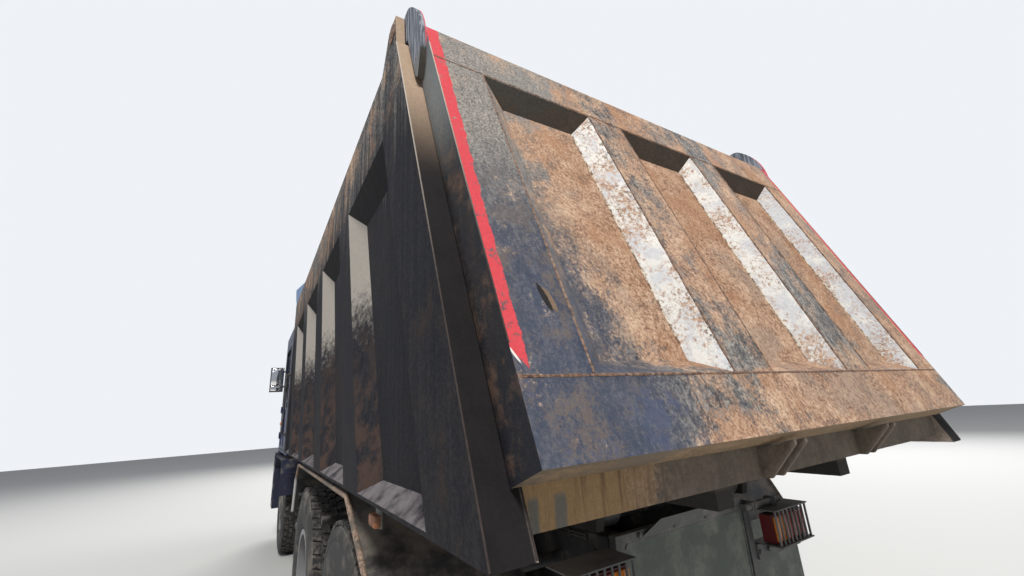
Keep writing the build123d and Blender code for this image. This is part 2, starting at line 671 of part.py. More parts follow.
# Front bumper, steps and wheel arches
bumper_z = (430, 1080)
lens_y = (half_body - 490, half_body - 160)
lens_z = (620, 800)
tow_r = 20.5
tow_z = (590, 680)
tow_plate = 22
inlet_z = 830               # lower edge of the bumper's air inlets
inlet_half = 560
bumper_x = (at(bumper_front - bumper_deep), at(bumper_front))
tow_x = at(nose - tow_reach / 2)
with BuildPart() as bumper:
    block(bumper_x, (-half_body + 20, half_body - 20), bumper_z)
    fillet(bumper.edges().filter_by(Axis.Z).group_by(Axis.X)[-1], 90)
    block((bumper_x[0] - 1, bumper_x[0] + 120), (-half_body + 90, half_body - 90),
          (bumper_z[0] + 40, bumper_z[1] + 1), Mode.SUBTRACT)
    for low in (inlet_z, inlet_z + 90):
        block((bumper_x[1] - 30, bumper_x[1] + 1), (-inlet_half, inlet_half), (low, low + 55), Mode.SUBTRACT)
    for hand in (-1, 1):
        y = sorted((hand * lens_y[0], hand * lens_y[1]))
        block((bumper_x[1] - 160, bumper_x[1] + 1), y, lens_z, Mode.SUBTRACT)
        block((at(frame_front), bumper_x[1] - 60), sorted((hand * 350, hand * 430)), (800, 960))
    for low in (tow_z[0], tow_z[1] - tow_plate):
        block((bumper_x[1] - 5, at(nose)), (-45, 45), (low, low + tow_plate))
    upright_bar(tow_r, tow_x, 0, (tow_z[0] - 5, tow_z[1] + 5), Mode.SUBTRACT)
keep(bumper.part, "front_bumper")

with BuildPart() as headlamps:
    for hand in (-1, 1):
        block((bumper_x[1] - 85, bumper_x[1] - 12), sorted((hand * lens_y[0], hand * lens_y[1])), lens_z)
keep(headlamps.part, "headlamps")

arch_y = (half_body - 380, half_body - 10)
step_x = (at(front_axle + 730), bumper_x[0])
with BuildPart() as cab_steps:
    block(step_x, (920, half_body - 14), (430, 1185))
    for low in (500, 740, 980):
        block((step_x[0] + 40, step_x[1] - 40), (1060, half_body), (low, low + 170), Mode.SUBTRACT)
    x = at(front_axle)
    bent_plate([(x - 705, 760), (x - 705, 1000), (x - 520, 1156), (x + 520, 1156), (x + 705, 1000),
                (x + 735, 1000)], guard_plate, arch_y)
    rod((x - 690, frame_half, 960), (x - 690, arch_y[1] - 60, 960), 18)
    block((step_x[0] + 60, step_x[0] + 120), (frame_half, 930), (900, 960))
    mirror(about=Plane.XZ)
keep(cab_steps.part, "cab_steps")

# Cab shell
cab_x = (at(cab_rear), at(cab_front))
screen_low = (cab_x[1], belt_z)
screen_high = (cab_x[1] - screen_rake, cab_high - 60)
tunnel_half = 380
tunnel_z = 1560
tunnel_plate = 30
intake_x = (cab_x[0] - 150, cab_x[0] + 1)
intake_y = (100 - cab_half, 370 - cab_half)
intake_z = (1480, 2740)     # the engine's air intake, standing behind the cab
with BuildPart() as cab_floor:
    inner_y = (-cab_half + cab_wall, cab_half - cab_wall)
    block((cab_x[0] + cab_wall, cab_x[1] - cab_wall), inner_y, (cab_floor_z - 40, cab_floor_z))
    block((cab_x[0] + cab_wall, cab_x[1] - 420), (-tunnel_half, tunnel_half), (cab_floor_z - 40, tunnel_z))
    block((cab_x[0] - 1, cab_x[1] - 450), (-tunnel_half + tunnel_plate, tunnel_half - tunnel_plate),
          (cab_floor_z - 50, tunnel_z - tunnel_plate), Mode.SUBTRACT)
    for hand in (-1, 1):
        y = sorted((hand * (frame_half - frame_flange), hand * (frame_half + 20)))
        block((at(frame_front) - 200, at(frame_front) - 60), y, (frame_top, cab_floor_z - 40))
        block((at(cab_rear) + 100, at(cab_rear) + 200), y, (frame_top, cab_floor_z - 40))
keep(cab_floor.part, "cab_floor")

intake_slots = 6
back_window = ((-400, 400), (2080, 2560))
with BuildPart() as cab_back_wall:
    block((cab_x[0], cab_x[0] + cab_wall), (-cab_half, cab_half), (cab_low, cab_high - 60))
    through = (cab_x[0] - 1, cab_x[0] + cab_wall + 1)
    block(through, (-tunnel_half + tunnel_plate, tunnel_half - tunnel_plate),
          (cab_low - 1, tunnel_z - tunnel_plate), Mode.SUBTRACT)
    block(through, *back_window, Mode.SUBTRACT)
    block(intake_x, intake_y, intake_z)
    fillet(cab_back_wall.edges().filter_by(Axis.Z).group_by(Axis.X)[0], 40)
    for n in range(intake_slots):
        low = intake_z[1] - 60 - (n + 1) * 65
        block((intake_x[0] + 45, cab_x[0] - 15), (intake_y[0] - 1, intake_y[0] + 20), (low, low + 40),
              Mode.SUBTRACT)
keep(cab_back_wall.part, "cab_back_wall")

with BuildPart() as cab_roof:
    side_plate([(cab_x[0], cab_high - 60), (screen_high[0], screen_high[1]), (screen_high[0] - 30, cab_high),
                (cab_x[0], cab_high)], (-cab_half, cab_half))
    fillet(cab_roof.edges().filter_by(Axis.X).group_by(Axis.Z)[-1], 45)
    block((cab_x[0] + cab_wall, cab_x[1] - screen_rake - 100), inner_y, (cab_high - 61, cab_high - 25),
          Mode.SUBTRACT)
keep(cab_roof.part, "cab_roof")

def screen_x(z):
    """Outer face of the leaning front at a height."""
    return cab_x[1] - screen_rake * max(0, z - belt_z) / (screen_high[1] - belt_z)


screen_y = cab_half - 110
grille_z = 1190             # lower edge of the grille's lowest slot
grille_slots = 5
grille_pitch = 90
grille_half = 640
corner_r = 40
visor_out = 70              # how far the sun visor stands ahead of the cab's front
visor_plate = 12
with BuildPart() as cab_front_panel:
    front_low = bumper_z[1] + 12
    side_plate([(cab_x[1] - cab_wall, front_low), (cab_x[1], front_low), screen_low, screen_high,
                (screen_high[0] - cab_wall, screen_high[1]), (screen_low[0] - cab_wall, screen_low[1])],
               (-cab_half, cab_half))
    fillet(cab_front_panel.edges().filter_by(Axis.Z).group_by(Axis.X)[-1], corner_r)
    block((cab_x[1] - 400, cab_x[1] + 1), (-screen_y, screen_y), (belt_z + 40, header_z), Mode.SUBTRACT)
    for n in range(grille_slots):
        low = grille_z + n * grille_pitch
        block((cab_x[1] - 25, cab_x[1] + 1), (-grille_half, grille_half), (low, low + 60), Mode.SUBTRACT)
    block((cab_x[1] - 10, cab_x[1] + 1), (-grille_half, grille_half), (1700, 1860), Mode.SUBTRACT)
    visor_foot = (screen_high[0] - 8, screen_high[1] - 15)
    visor_tip = (cab_x[1] + visor_out, screen_high[1] - 110)
    side_plate([visor_foot, visor_tip, (visor_tip[0], visor_tip[1] + visor_plate),
                (visor_foot[0], visor_foot[1] + visor_plate)], (-screen_y, screen_y))
    for hand in (-1, 1):
        side_plate([(screen_x(visor_foot[1] - 90) - 5, visor_foot[1] - 90), visor_tip, visor_foot],
                   sorted((hand * screen_y, hand * (screen_y - visor_plate))))
keep(cab_front_panel.part, "cab_front_panel")

door_outline = [(at(door_rear), door_low), (at(door_front), door_low), (at(door_front), belt_z),
                (screen_x(header_z) - 130, header_z), (at(door_rear), header_z)]
door_hinge_x = at(door_front) - door_gap
door_hinge_y = cab_half + knuckle_out
with BuildPart() as cab_side_left:
    rear_x = cab_x[0] + cab_wall
    side_plate([(rear_x, cab_low), (cab_x[1] - cab_wall, cab_low), (cab_x[1] - cab_wall, belt_z),
                (screen_high[0] - cab_wall, screen_high[1]), (rear_x, cab_high - 60)],
               (cab_half - cab_wall, cab_half))
    side_plate(door_outline, (cab_half - cab_wall - 1, cab_half + 1), Mode.SUBTRACT)
    lug_x = (at(door_front), at(door_front) + 45)
    for z in knuckle_z:
        for low in (z - knuckle_lug - knuckle_play, z + knuckle_long + knuckle_play):
            lug_z = (low, low + knuckle_lug)
            upright_bar(knuckle_r, door_hinge_x, door_hinge_y, lug_z)
            block((door_hinge_x, lug_x[1]), (cab_half + 4, cab_half + 12), lug_z)
            block(lug_x, (cab_half - 2, cab_half + 5), lug_z)
        pin_reach = (z - knuckle_lug, z + knuckle_long + knuckle_lug)
        upright_bar(knuckle_pin_r, door_hinge_x, door_hinge_y, pin_reach)
keep(cab_side_left.part, "cab_side_left")
keep(mirrored(cab_side_left.part), "cab_side_right")

# Doors, hung at their front edges, with a window cut through each
window = [(at(door_rear) + 90, belt_z - 40), (at(door_front) - 90, belt_z - 40),
          (screen_x(header_z) - 215, header_z - 90), (at(door_rear) + 90, header_z - 90)]
press_z = (1290, 1790)
press_deep = 8
with BuildPart() as door_left:
    g = door_gap
    side_plate([(at(door_rear) + g, door_low + g), (door_hinge_x, door_low + g),
                (door_hinge_x, belt_z - g / 2), (screen_x(header_z) - 130 - g, header_z - g),
                (at(door_rear) + g, header_z - g)], (cab_half - door_thick, cab_half))
    side_plate(window, (cab_half - door_thick - 1, cab_half + 1), Mode.SUBTRACT)
    for x in ((door_rear + 80, door_rear + 440), (door_rear + 500, door_front - 90)):
        block((at(x[0]), at(x[1])), (cab_half - press_deep, cab_half + 1), press_z, Mode.SUBTRACT)
    block((at(door_rear) + 70, at(door_rear) + 230), (cab_half - 5, cab_half + 12), (1820, 1865))
    for z in knuckle_z:
        long_z = (z, z + knuckle_long)
        block((door_hinge_x - 45, door_hinge_x), (cab_half - 2, cab_half + 8), long_z)
        upright_bar(knuckle_r, door_hinge_x, door_hinge_y, long_z)
        upright_bar(knuckle_pin_r + running_gap, door_hinge_x, door_hinge_y, long_z, Mode.SUBTRACT)
keep(door_left.part, "door_left")
keep(mirrored(door_left.part), "door_right")

pane_y = (cab_half - 22, cab_half - 17)
with BuildPart() as door_glass_left:
    side_plate(window, pane_y)
keep(door_glass_left.part, "door_glass_left")
keep(mirrored(door_glass_left.part), "door_glass_right")

with BuildPart() as cab_glass:
    mid = 20
    side_plate([(screen_x(belt_z + 40) - mid, belt_z + 40), (screen_x(header_z) - mid, header_z),
                (screen_x(header_z) - mid - 6, header_z), (screen_x(belt_z + 40) - mid - 6, belt_z + 40)],
               (-screen_y, screen_y))
    block((cab_x[0] + mid, cab_x[0] + mid + 5), *back_window)
keep(cab_glass.part, "cab_glass")

# Seats, dashboard and steering wheel
seat_y = 640
seat_x = at(cab_front - 1160)
with BuildPart() as seats:
    for y in (-seat_y, seat_y):
        block((seat_x, seat_x + 470), (y - 230, y + 230), (1700, 1820))
        side_plate([(seat_x, 1800), (seat_x + 110, 1800), (seat_x + 20, 2480), (seat_x - 90, 2480)],
                   (y - 220, y + 220))
        block((seat_x + 60, seat_x + 400), (y - 150, y + 150), (cab_floor_z, 1700))
keep(seats.part, "seats")

wheel_tilt = 32
wheel_centre = Vector(at(cab_front - 550), seat_y, 1990)
column_r = 24
column_length = 320         # from the wheel to its end in the dashboard
column_dir = Vector(sin(radians(wheel_tilt)), 0, -cos(radians(wheel_tilt)))
wheel_plane = Plane(origin=wheel_centre, x_dir=(0, 1, 0), z_dir=column_dir)
with BuildPart() as dashboard:
    front = cab_x[1] - cab_wall
    reach = cab_half - cab_wall - 5
    side_plate([(front, 1500), (front, belt_z - 10), (cab_x[1] - 330, belt_z - 50), (cab_x[1] - 400, 1760),
                (cab_x[1] - 300, 1500)], (-reach, reach))
    column_end = wheel_centre + column_dir * (column_length + 10)
    rod(wheel_centre + column_dir * 200, column_end, column_r + running_gap, Mode.SUBTRACT)
keep(dashboard.part, "dashboard")

with BuildPart() as steering_wheel:
    with BuildSketch(wheel_plane):
        Circle(230)
        Circle(202, mode=Mode.SUBTRACT)
    extrude(amount=26)
    with BuildSketch(wheel_plane):
        Circle(60)
        for turn in (90, 210, 330):
            with PolarLocations(130, 1, start_angle=turn):
                Rectangle(160, 34)
    extrude(amount=22)
    with BuildSketch(wheel_plane.offset(22)):
        Circle(column_r)
    extrude(amount=column_length - 22)
keep(steering_wheel.part, "steering_wheel")

mirror_gap = 20
mirror_reach = 210
mirror_z = (2100, 2480)
with BuildPart() as mirrors:
    for hand in (-1, 1):
        y = sorted((hand * (cab_half + mirror_gap), hand * (cab_half + mirror_reach)))
        block((at(door_front + 10), at(door_front + 100)), y, mirror_z)
    fillet(mirrors.edges().filter_by(Axis.Z), 20)
    for hand in (-1, 1):
        for z in (mirror_z[0] + 80, mirror_z[1] - 60):
            y = sorted((hand * cab_half, hand * (cab_half + mirror_gap + 5)))
            cross_bar(12, at(door_front + 60), z, y)
keep(mirrors.part, "mirrors")

# Telescopic hoist: a barrel on the chassis pin and four stages, the last with an open eye
hoist_start = (at(hoist_foot[0]), 0, hoist_foot[1])
hoist_run = Vector(eye_x, 0, eye_z) - Vector(*hoist_start)
hoist_plane = Plane(origin=hoist_start, x_dir=(0, 1, 0), z_dir=hoist_run.normalized())
eye_half = hoist_cheek - 6
eye_r = 70
barrel_start = 70
stage_foot = barrel_start + 22
stage_lift = 6              # how far each stage's foot stands above the one around it
hoist_tube = hoist_run.length - eye_r - 7 - stage_foot - 3 * stage_lift
stage_names = ("hoist_stage_one", "hoist_stage_two", "hoist_stage_three", "hoist_stage_four")
with BuildPart() as barrel:
    with BuildSketch(hoist_plane.offset(barrel_start)):
        Circle(hoist_radii[0])
    extrude(amount=hoist_tube)
    cross_bar(60, hoist_start[0], hoist_start[2], (-eye_half, eye_half))
    with BuildSketch(hoist_plane):
        Rectangle(2 * eye_half, 100)
    extrude(amount=barrel_start + 10)
    with BuildSketch(hoist_plane.offset(barrel_start + 20)):
        Circle(hoist_radii[1] + stage_gap)
    extrude(amount=hoist_tube, mode=Mode.SUBTRACT)
    pin_y = (-eye_half - 5, eye_half + 5)
    cross_bar(hoist_pin + running_gap, hoist_start[0], hoist_start[2], pin_y, Mode.SUBTRACT)
keep(barrel.part, "hoist_barrel")
for n, name in enumerate(stage_names, 1):
    start = stage_foot + stage_lift * n
    with BuildPart() as stage:
        with BuildSketch(hoist_plane.offset(start)):
            Circle(hoist_radii[n])
        extrude(amount=hoist_tube)
        if n < len(stage_names):
            with BuildSketch(hoist_plane.offset(start + 4)):
                Circle(hoist_radii[n + 1] + stage_gap)
            extrude(amount=hoist_tube, mode=Mode.SUBTRACT)
        else:
            cross_bar(eye_r, eye_x, eye_z, (-eye_half, eye_half))
            with BuildSketch(hoist_plane.offset(start + hoist_tube - 1)):
                Circle(hoist_radii[n])
            extrude(amount=hoist_run.length - start - hoist_tube)
            cross_bar(hoist_slot, eye_x, eye_z, (-eye_half - 5, eye_half + 5), Mode.SUBTRACT)
            with BuildSketch(hoist_plane.offset(hoist_run.length)):
                Rectangle(2 * eye_half + 10, 2 * hoist_slot)
            extrude(amount=eye_r + 5, mode=Mode.SUBTRACT)
    keep(stage.part, name)
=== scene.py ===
import math

import bmesh
import bpy
from mathutils import Matrix, Vector


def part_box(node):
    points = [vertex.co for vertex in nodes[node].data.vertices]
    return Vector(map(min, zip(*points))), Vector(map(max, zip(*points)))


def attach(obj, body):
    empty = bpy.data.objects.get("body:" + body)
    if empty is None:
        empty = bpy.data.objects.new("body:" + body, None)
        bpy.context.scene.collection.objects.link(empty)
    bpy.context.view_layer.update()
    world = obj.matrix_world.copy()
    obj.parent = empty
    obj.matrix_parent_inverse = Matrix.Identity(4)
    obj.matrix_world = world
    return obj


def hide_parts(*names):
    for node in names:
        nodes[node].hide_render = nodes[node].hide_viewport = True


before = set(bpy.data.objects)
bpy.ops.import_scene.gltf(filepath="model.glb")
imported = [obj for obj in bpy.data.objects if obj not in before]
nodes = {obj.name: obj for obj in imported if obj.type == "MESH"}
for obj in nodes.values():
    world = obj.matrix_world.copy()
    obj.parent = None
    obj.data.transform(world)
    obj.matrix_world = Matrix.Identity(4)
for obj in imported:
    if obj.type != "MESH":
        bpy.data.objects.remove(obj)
scene = bpy.context.scene
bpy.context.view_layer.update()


# Camera, floor and lamps. The camera stands low behind the truck's left rear corner and looks up along
# the tail gate. The foot is where the inside of the leaning gate meets the lower edge of the body.
frame_end = 0.64
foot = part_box("chassis_frame")[0][0] - frame_end
sill = 1.265
lens = bpy.data.cameras.new("low_corner_view")
lens.sensor_width = 36
lens.lens = 14.72
lens.clip_end = 200
view = bpy.data.objects.new("low_corner_view", lens)
scene.collection.objects.link(view)
right = Vector((-0.51084, -0.85719, -0.06535))
up = Vector((-0.27839, 0.09302, 0.95595))
back = right.cross(up)
view.matrix_world = Matrix((
    (right.x, up.x, back.x, foot - 0.7135),
    (right.y, up.y, back.y, 1.6155),
    (right.z, up.z, back.z, sill + 0.2575),
    (0, 0, 0, 1),
))
scene.camera = view
scene.view_settings.view_transform = "Standard"


def lamp(name, place, aim, size, power, colour):
    light = bpy.data.lights.new(name, "AREA")
    light.shape = "DISK"
    light.size = size
    light.energy = power
    light.color = colour
    piece = bpy.data.objects.new(name, light)
    piece.location = place
    piece.rotation_euler = (Vector(aim) - Vector(place)).to_track_quat("-Z", "Y").to_euler()
    scene.collection.objects.link(piece)


lamp("key_lamp", (-13, 5, 14), (-3, 0, 1.5), 4, 2900, (1.0, 0.97, 0.92))
lamp("left_lamp", (3, 15, 8), (1, 0, 1.5), 8, 700, (0.95, 0.97, 1.0))
lamp("front_lamp", (14, -3, 10), (1, 0, 1.5), 9, 1700, (1.0, 0.99, 0.97))
lamp("right_lamp", (0, -14, 9), (0, 0, 1.5), 8, 1500, (0.98, 0.98, 1.0))
world = bpy.data.worlds.new("studio")
scene.world = world
world.use_nodes = True
sky = world.node_tree
ambient = sky.nodes["Background"]
ambient.inputs["Color"].default_value = (0.86, 0.9, 1.0, 1)
ambient.inputs["Strength"].default_value = 0.38
seen = sky.nodes.new("ShaderNodeBackground")
seen.inputs["Color"].default_value = (0.86, 0.89, 0.93, 1)
seen.inputs["Strength"].default_value = 1
ray = sky.nodes.new("ShaderNodeLightPath")
either = sky.nodes.new("ShaderNodeMath")
either.operation = "MAXIMUM"
choice = sky.nodes.new("ShaderNodeMixShader")
for source, target in ((ray.outputs["Is Camera Ray"], either.inputs[0]),
                       (ray.outputs["Is Transmission Ray"], either.inputs[1]),
                       (either.outputs[0], choice.inputs[0]), (ambient.outputs[0], choice.inputs[1]),
                       (seen.outputs[0], choice.inputs[2]),
                       (choice.outputs[0], sky.nodes["World Output"].inputs["Surface"])):
    sky.links.new(source, target)

ground = bmesh.new()
bmesh.ops.create_grid(ground, x_segments=1, y_segments=1, size=40)
studio_plane = bpy.data.meshes.new("studio_floor")
ground.to_mesh(studio_plane)
studio_floor = bpy.data.objects.new("studio_floor", studio_plane)
scene.collection.objects.link(studio_floor)
pale = bpy.data.materials.new("pale_floor")
pale.use_nodes = True
pale_shader = pale.node_tree.nodes["Principled BSDF"]
pale_shader.inputs["Base Color"].default_value = (0.52, 0.52, 0.5, 1)
pale_shader.inputs["Roughness"].default_value = 0.9
studio_plane.materials.append(pale)


# Tail gate: a welded frame of thick plate with three pressed panels, hung on two pins at its top corners.
# Its blue paint is mostly gone to rust, with a worn red stripe left along each side border. Painted shade lies in
# its pockets, on its left edge and low on the left, and painted highlights lie on its left-facing flanks and upper
# left border.
class Socket:
    """One output among a material's nodes. Sums and products of such outputs add Math nodes."""

    def __init__(self, tree, socket=None):
        self.tree = tree
        self.socket = socket

    def node(self, kind, settings, values, output=0):
        made = self.tree.nodes.new(kind)
        for name, setting in settings.items():
            if name == "stops":
                ramp = made.color_ramp
                while len(ramp.elements) < len(setting):
                    ramp.elements.new(0.5)
                for element, (place, colour) in zip(ramp.elements, setting):
                    element.position = place
                    element.color = (*colour, 1)
            else:
                setattr(made, name, setting)
        for name, value in values.items():
            if isinstance(value, Socket):
                self.tree.links.new(value.socket, made.inputs[name])
            else:
                made.inputs[name].default_value = value
        return Socket(self.tree, made.outputs[output])

    def maths(self, operation, first, second):
        return self.node("ShaderNodeMath", {"operation": operation}, {0: first, 1: second})

    def __add__(self, other):
        return self.maths("ADD", self, other)

    __radd__ = __add__

    def __sub__(self, other):
        return self.maths("SUBTRACT", self, other)

    def __rsub__(self, other):
        return self.maths("SUBTRACT", other, self)

    def __mul__(self, other):
        return self.maths("MULTIPLY", self, other)

    __rmul__ = __mul__

    def size(self):
        return self.node("ShaderNodeMath", {"operation": "ABSOLUTE"}, {0: self})

    def ramp(self, *stops):
        """Colours along this output, from pairs of a value and a colour."""
        return self.node("ShaderNodeValToRGB", {"stops": stops}, {0: self})

    def rising(self, low, high):
        """0 below one value of this output and 1 above another, smooth between them."""
        return self.node("ShaderNodeMapRange", {"interpolation_type": "SMOOTHSTEP"},
                         {"Value": self, "From Min": low, "From Max": high})

    def between(self, colour, other):
        """One colour where this output is 0, and the other where it is 1."""
        colours = [c if isinstance(c, Socket) else (*c, 1) for c in (colour, other)]
        return self.node("ShaderNodeMix", {"data_type": "RGBA"}, {0: self, 6: colours[0], 7: colours[1]}, 2)

    def moved(self, *way):
        return self.node("ShaderNodeVectorMath", {"operation": "ADD"}, {0: self, 1: way})

    def stretched(self, *scale):
        return self.node("ShaderNodeMapping", {}, {"Vector": self, "Scale": scale})

    def mottle(self, scale, detail=6, roughness=0.6):
        """Cloudy noise at so many blotches a metre."""
        return self.node("ShaderNodeTexNoise", {}, {"Vector": self, "Scale": scale, "Detail": detail,
                                                    "Roughness": roughness})

    def facing(self, direction):
        """How far the surface here faces a direction, from 1 to -1."""
        return self.node("ShaderNodeTexCoord", {}, {}, 1).along(direction)

    def along(self, direction, start=(0, 0, 0)):
        """How far this place lies along a direction from a point, in metres."""
        reach = self.node("ShaderNodeVectorMath", {"operation": "DOT_PRODUCT"}, {0: self, 1: direction}, 1)
        return reach - Vector(direction).dot(Vector(start))


def finish(name):
    """A new material, with the place on the object that its patterns read."""
    material = bpy.data.materials.new(name)
    material.use_nodes = True
    return material, Socket(material.node_tree).node("ShaderNodeTexCoord", {}, {}, 3)


def layered(colour, *layers):
    """Colours laid over another, each given by its cover, its grain and the two colours of that grain."""
    for cover, grain, low, high in layers:
        colour = cover.between(colour, grain.between(low, high))
    return colour


def coat(material, **values):
    """Sets the shader's sockets, and roughens its surface by a height in metres."""
    shader = material.node_tree.nodes["Principled BSDF"]
    height = values.pop("height", None)
    if height is not None:
        values["Normal"] = height.node("ShaderNodeBump", {}, {"Strength": 1.0, "Distance": 1.0, "Height": height})
    for name, value in values.items():
        socket = shader.inputs[name.replace("_", " ")]
        if isinstance(value, Socket):
            material.node_tree.links.new(value.socket, socket)
        else:
            socket.default_value = (*value, 1) if isinstance(value, tuple) else value
    return material


def dress(material, *names):
    for name in names:
        for place in nodes[name].material_slots:
            place.material = material


slope = 0.362
lean = math.atan(slope)
gate_up = Vector((math.sin(lean), 0, math.cos(lean)))
gate_out = Vector((-math.cos(lean), 0, math.sin(lean)))
gate_foot = Vector((foot, 0, sill))
frame_proud = 0.118
panels = ((-0.977, -0.45), (-0.256, 0.256), (0.45, 0.977))
rust_pale = (0.58, 0.44, 0.32)
rust_light = (0.42, 0.262, 0.172)
rust_mid = (0.27, 0.155, 0.1)
rust_dark = (0.06, 0.036, 0.028)
worn_dark = (0.022, 0.024, 0.034)
worn_mid = (0.105, 0.102, 0.1)
worn_pale = (0.32, 0.3, 0.27)
bare_steel = (0.74, 0.7, 0.65)


def rusted(place, cover, seed):
    """Rust colour, its mask over the paint and its fine and middling grain, for so large a share of rust."""
    moved = place.moved(seed, seed * 0.7, -seed)
    blotch = moved.mottle(1.5, 4, 0.55)
    patch = moved.mottle(11, 6, 0.62)
    speck = moved.mottle(85, 5, 0.85)
    run = moved.stretched(14, 14, 0.9).mottle(2.0, 6, 0.62)
    mask = (blotch * 0.42 + patch * 0.3 + speck * 0.34 + run * 0.16 + cover).rising(0.57, 0.66)
    shade = speck * 0.72 + patch * 0.28
    tint = shade.ramp((0.4, rust_dark), (0.46, rust_mid), (0.515, rust_light), (0.6, rust_pale))
    return tint, mask, speck, patch


def worn_paint(place, seed):
    """Chalked blue-grey paint, streaked downwards and peppered with dark and pale dots."""
    moved = place.moved(-seed, seed, seed * 0.3)
    streak = moved.stretched(30, 30, 0.8).mottle(1.4, 6, 0.6)
    grain = moved.mottle(90, 5, 0.85)
    return (streak * 0.34 + grain * 0.66).ramp((0.42, worn_dark), (0.5, worn_mid), (0.57, worn_pale))


gate_material, place = finish("gate_rust_shade_and_glint")
up_gate = place.along(gate_up, gate_foot)
proud = place.along(gate_out, gate_foot)
across = place.along((0, 1, 0))
left_part = (across + up_gate.rising(1.2, 1.5) * 0.2 + place.mottle(2.5, 3, 0.5) * 0.3).rising(0.78, 1.1)
low_part = up_gate.rising(1.25, 0.5)
frame_face = proud.rising(0.08, 0.11)
off_centre = across.size()
mullion = off_centre.rising(0.235, 0.26) * off_centre.rising(0.475, 0.45) * up_gate.rising(0.3, 0.33)
tint, mask, speck, patch = rusted(place, 0.115 - frame_face * 0.065 - left_part * 0.07 - mullion * 0.06
                                  - low_part * across.rising(0.3, 1.05) * 0.07, 3.1)
paint = worn_paint(place, 2.2)
salt = place.mottle(140, 4, 0.9)
# Up the left border the paint is paler and speckled, a painted highlight where that border is lit. Low on the left
# it turns navy, partly the gate's blue paint and partly painted shade.
lit_margin = left_part * up_gate.rising(0.6, 1.2)
navy = low_part * across.rising(0.55, 0.95)
dull = navy * (place.mottle(9, 6, 0.7) * 0.6 + salt * 0.4).rising(0.5, 0.55)
paint = layered(paint, (lit_margin * 0.7, salt.rising(0.42, 0.58), (0.07, 0.066, 0.06), (0.46, 0.42, 0.38)),
                (navy * 0.8, patch, (0.021, 0.029, 0.054), (0.056, 0.074, 0.125)),
                (dull * 0.8, speck, (0.07, 0.055, 0.048), (0.2, 0.155, 0.13)))
box_face = up_gate.rising(0.36, 0.3)
fresh = (place.mottle(4.5, 5, 0.6) + place.mottle(40, 4, 0.7) * 0.3).rising(0.66, 0.74) * box_face
paint = (fresh * across.rising(0.4, 0.7) * 0.7).between(paint, (0.05, 0.068, 0.13))
drift = place.mottle(3.1, 5, 0.62)
tint = layered(tint, (drift.rising(0.5, 0.62) * 0.5, speck, (0.17, 0.075, 0.035), (0.5, 0.255, 0.13)),
               (drift.rising(0.46, 0.36) * 0.45, speck, (0.09, 0.075, 0.066), (0.36, 0.3, 0.25)))
# Downward-facing faces at the tops of the pockets are painted near black as painted shade. Near the foot the same
# faces carry clay.
under = place.facing(gate_up).rising(-0.25, -0.45)
pocket_top_shade = under * up_gate.rising(0.2, 0.4)
clay_lip = under * up_gate.rising(0.2, 0.1)
colour = layered(mask.between(paint, tint),
                 (pocket_top_shade * 0.94, speck, (0.009, 0.008, 0.006), (0.032, 0.025, 0.018)),
                 (clay_lip * 0.9, speck, (0.11, 0.075, 0.04), (0.25, 0.18, 0.095)))
side_ways = place.facing((0, 1, 0))
inboard = across.rising(-1.15, -1.12) * across.rising(1.15, 1.12)
rubbed = place.mottle(65, 6, 0.9) * 0.7 + place.mottle(7, 3, 0.5) * 0.3
# Left-facing flanks are painted pale: scraped bare paint, and a painted highlight of light glinting on them.
bare = side_ways.rising(0.3, 0.5) * inboard * rubbed.rising(0.56, 0.5)
scraped = (patch * 0.6 + salt * 0.4 + across.rising(-0.8, -0.95) * 0.06).rising(0.47, 0.56)
colour = bare.between(colour, scraped.between(speck.between((0.5, 0.49, 0.47), (0.76, 0.74, 0.7)),
                                              speck.between((0.33, 0.35, 0.39), (0.64, 0.64, 0.65))))
# The gate's left-facing side edge is painted near black with rust patches as painted shade, with grey paint higher
# up.
edge_on = side_ways.rising(0.7, 0.95) * (1 - inboard)
side_edge_shade = patch.rising(0.5, 0.66).between((0.009, 0.009, 0.012), (0.07, 0.038, 0.027))
side_edge_shade = layered(side_edge_shade, (up_gate.rising(0.95, 1.35), speck, (0.07, 0.085, 0.095), (0.22, 0.24, 0.24)))
ear = up_gate.rising(1.655, 1.67) * (1 - inboard)
scratch = place.stretched(60, 60, 3).mottle(1.5, 4, 0.6).rising(0.4, 0.62)
wander = place.mottle(14, 6, 0.75) * 0.03 - 0.012
stripe = (across + wander + up_gate.rising(0.5, 1.6) * 0.012).rising(1.143, 1.146) * across.rising(1.183, 1.18)
stripe = stripe * (up_gate - (across - 1.18) * 1.3).rising(0.365, 0.372)
far_stripe = (across + wander).rising(-1.142, -1.146) * up_gate.rising(0.35, 0.4)
rail_spots = up_gate.rising(1.6, 1.62) * place.mottle(5, 5, 0.7).rising(0.62, 0.64) * across.rising(0.2, -0.9)
stripe = (stripe + far_stripe * 0.85 + rail_spots) * proud.rising(0.09, 0.11) * side_ways.rising(0.6, 0.3)
chipped = (place.mottle(38, 6, 0.8) * 0.7 + place.mottle(9, 4, 0.6) * 0.3).rising(0.61, 0.56)
colour = layered((edge_on * 0.93).between(colour, side_edge_shade),
                 (ear * 0.9, scratch, (0.05, 0.062, 0.085), (0.3, 0.33, 0.38)),
                 (stripe * chipped, speck, (0.45, 0.02, 0.035), (0.74, 0.085, 0.1)))


def smudge(y, up, turn, long, short):
    """A ragged oval on the gate, its long way turned from upwards, with its half sizes in metres."""
    spot = gate_foot + gate_up * up + Vector((0, y, 0)) + gate_out * frame_proud
    lengthways = place.along(gate_up * math.cos(turn) + Vector((0, math.sin(turn), 0)), spot) * (1 / long)
    crossways = place.along(gate_up * -math.sin(turn) + Vector((0, math.cos(turn), 0)), spot) * (1 / short)
    return (lengthways * lengthways + crossways * crossways + salt * 1.6).rising(2.1, 1.5)
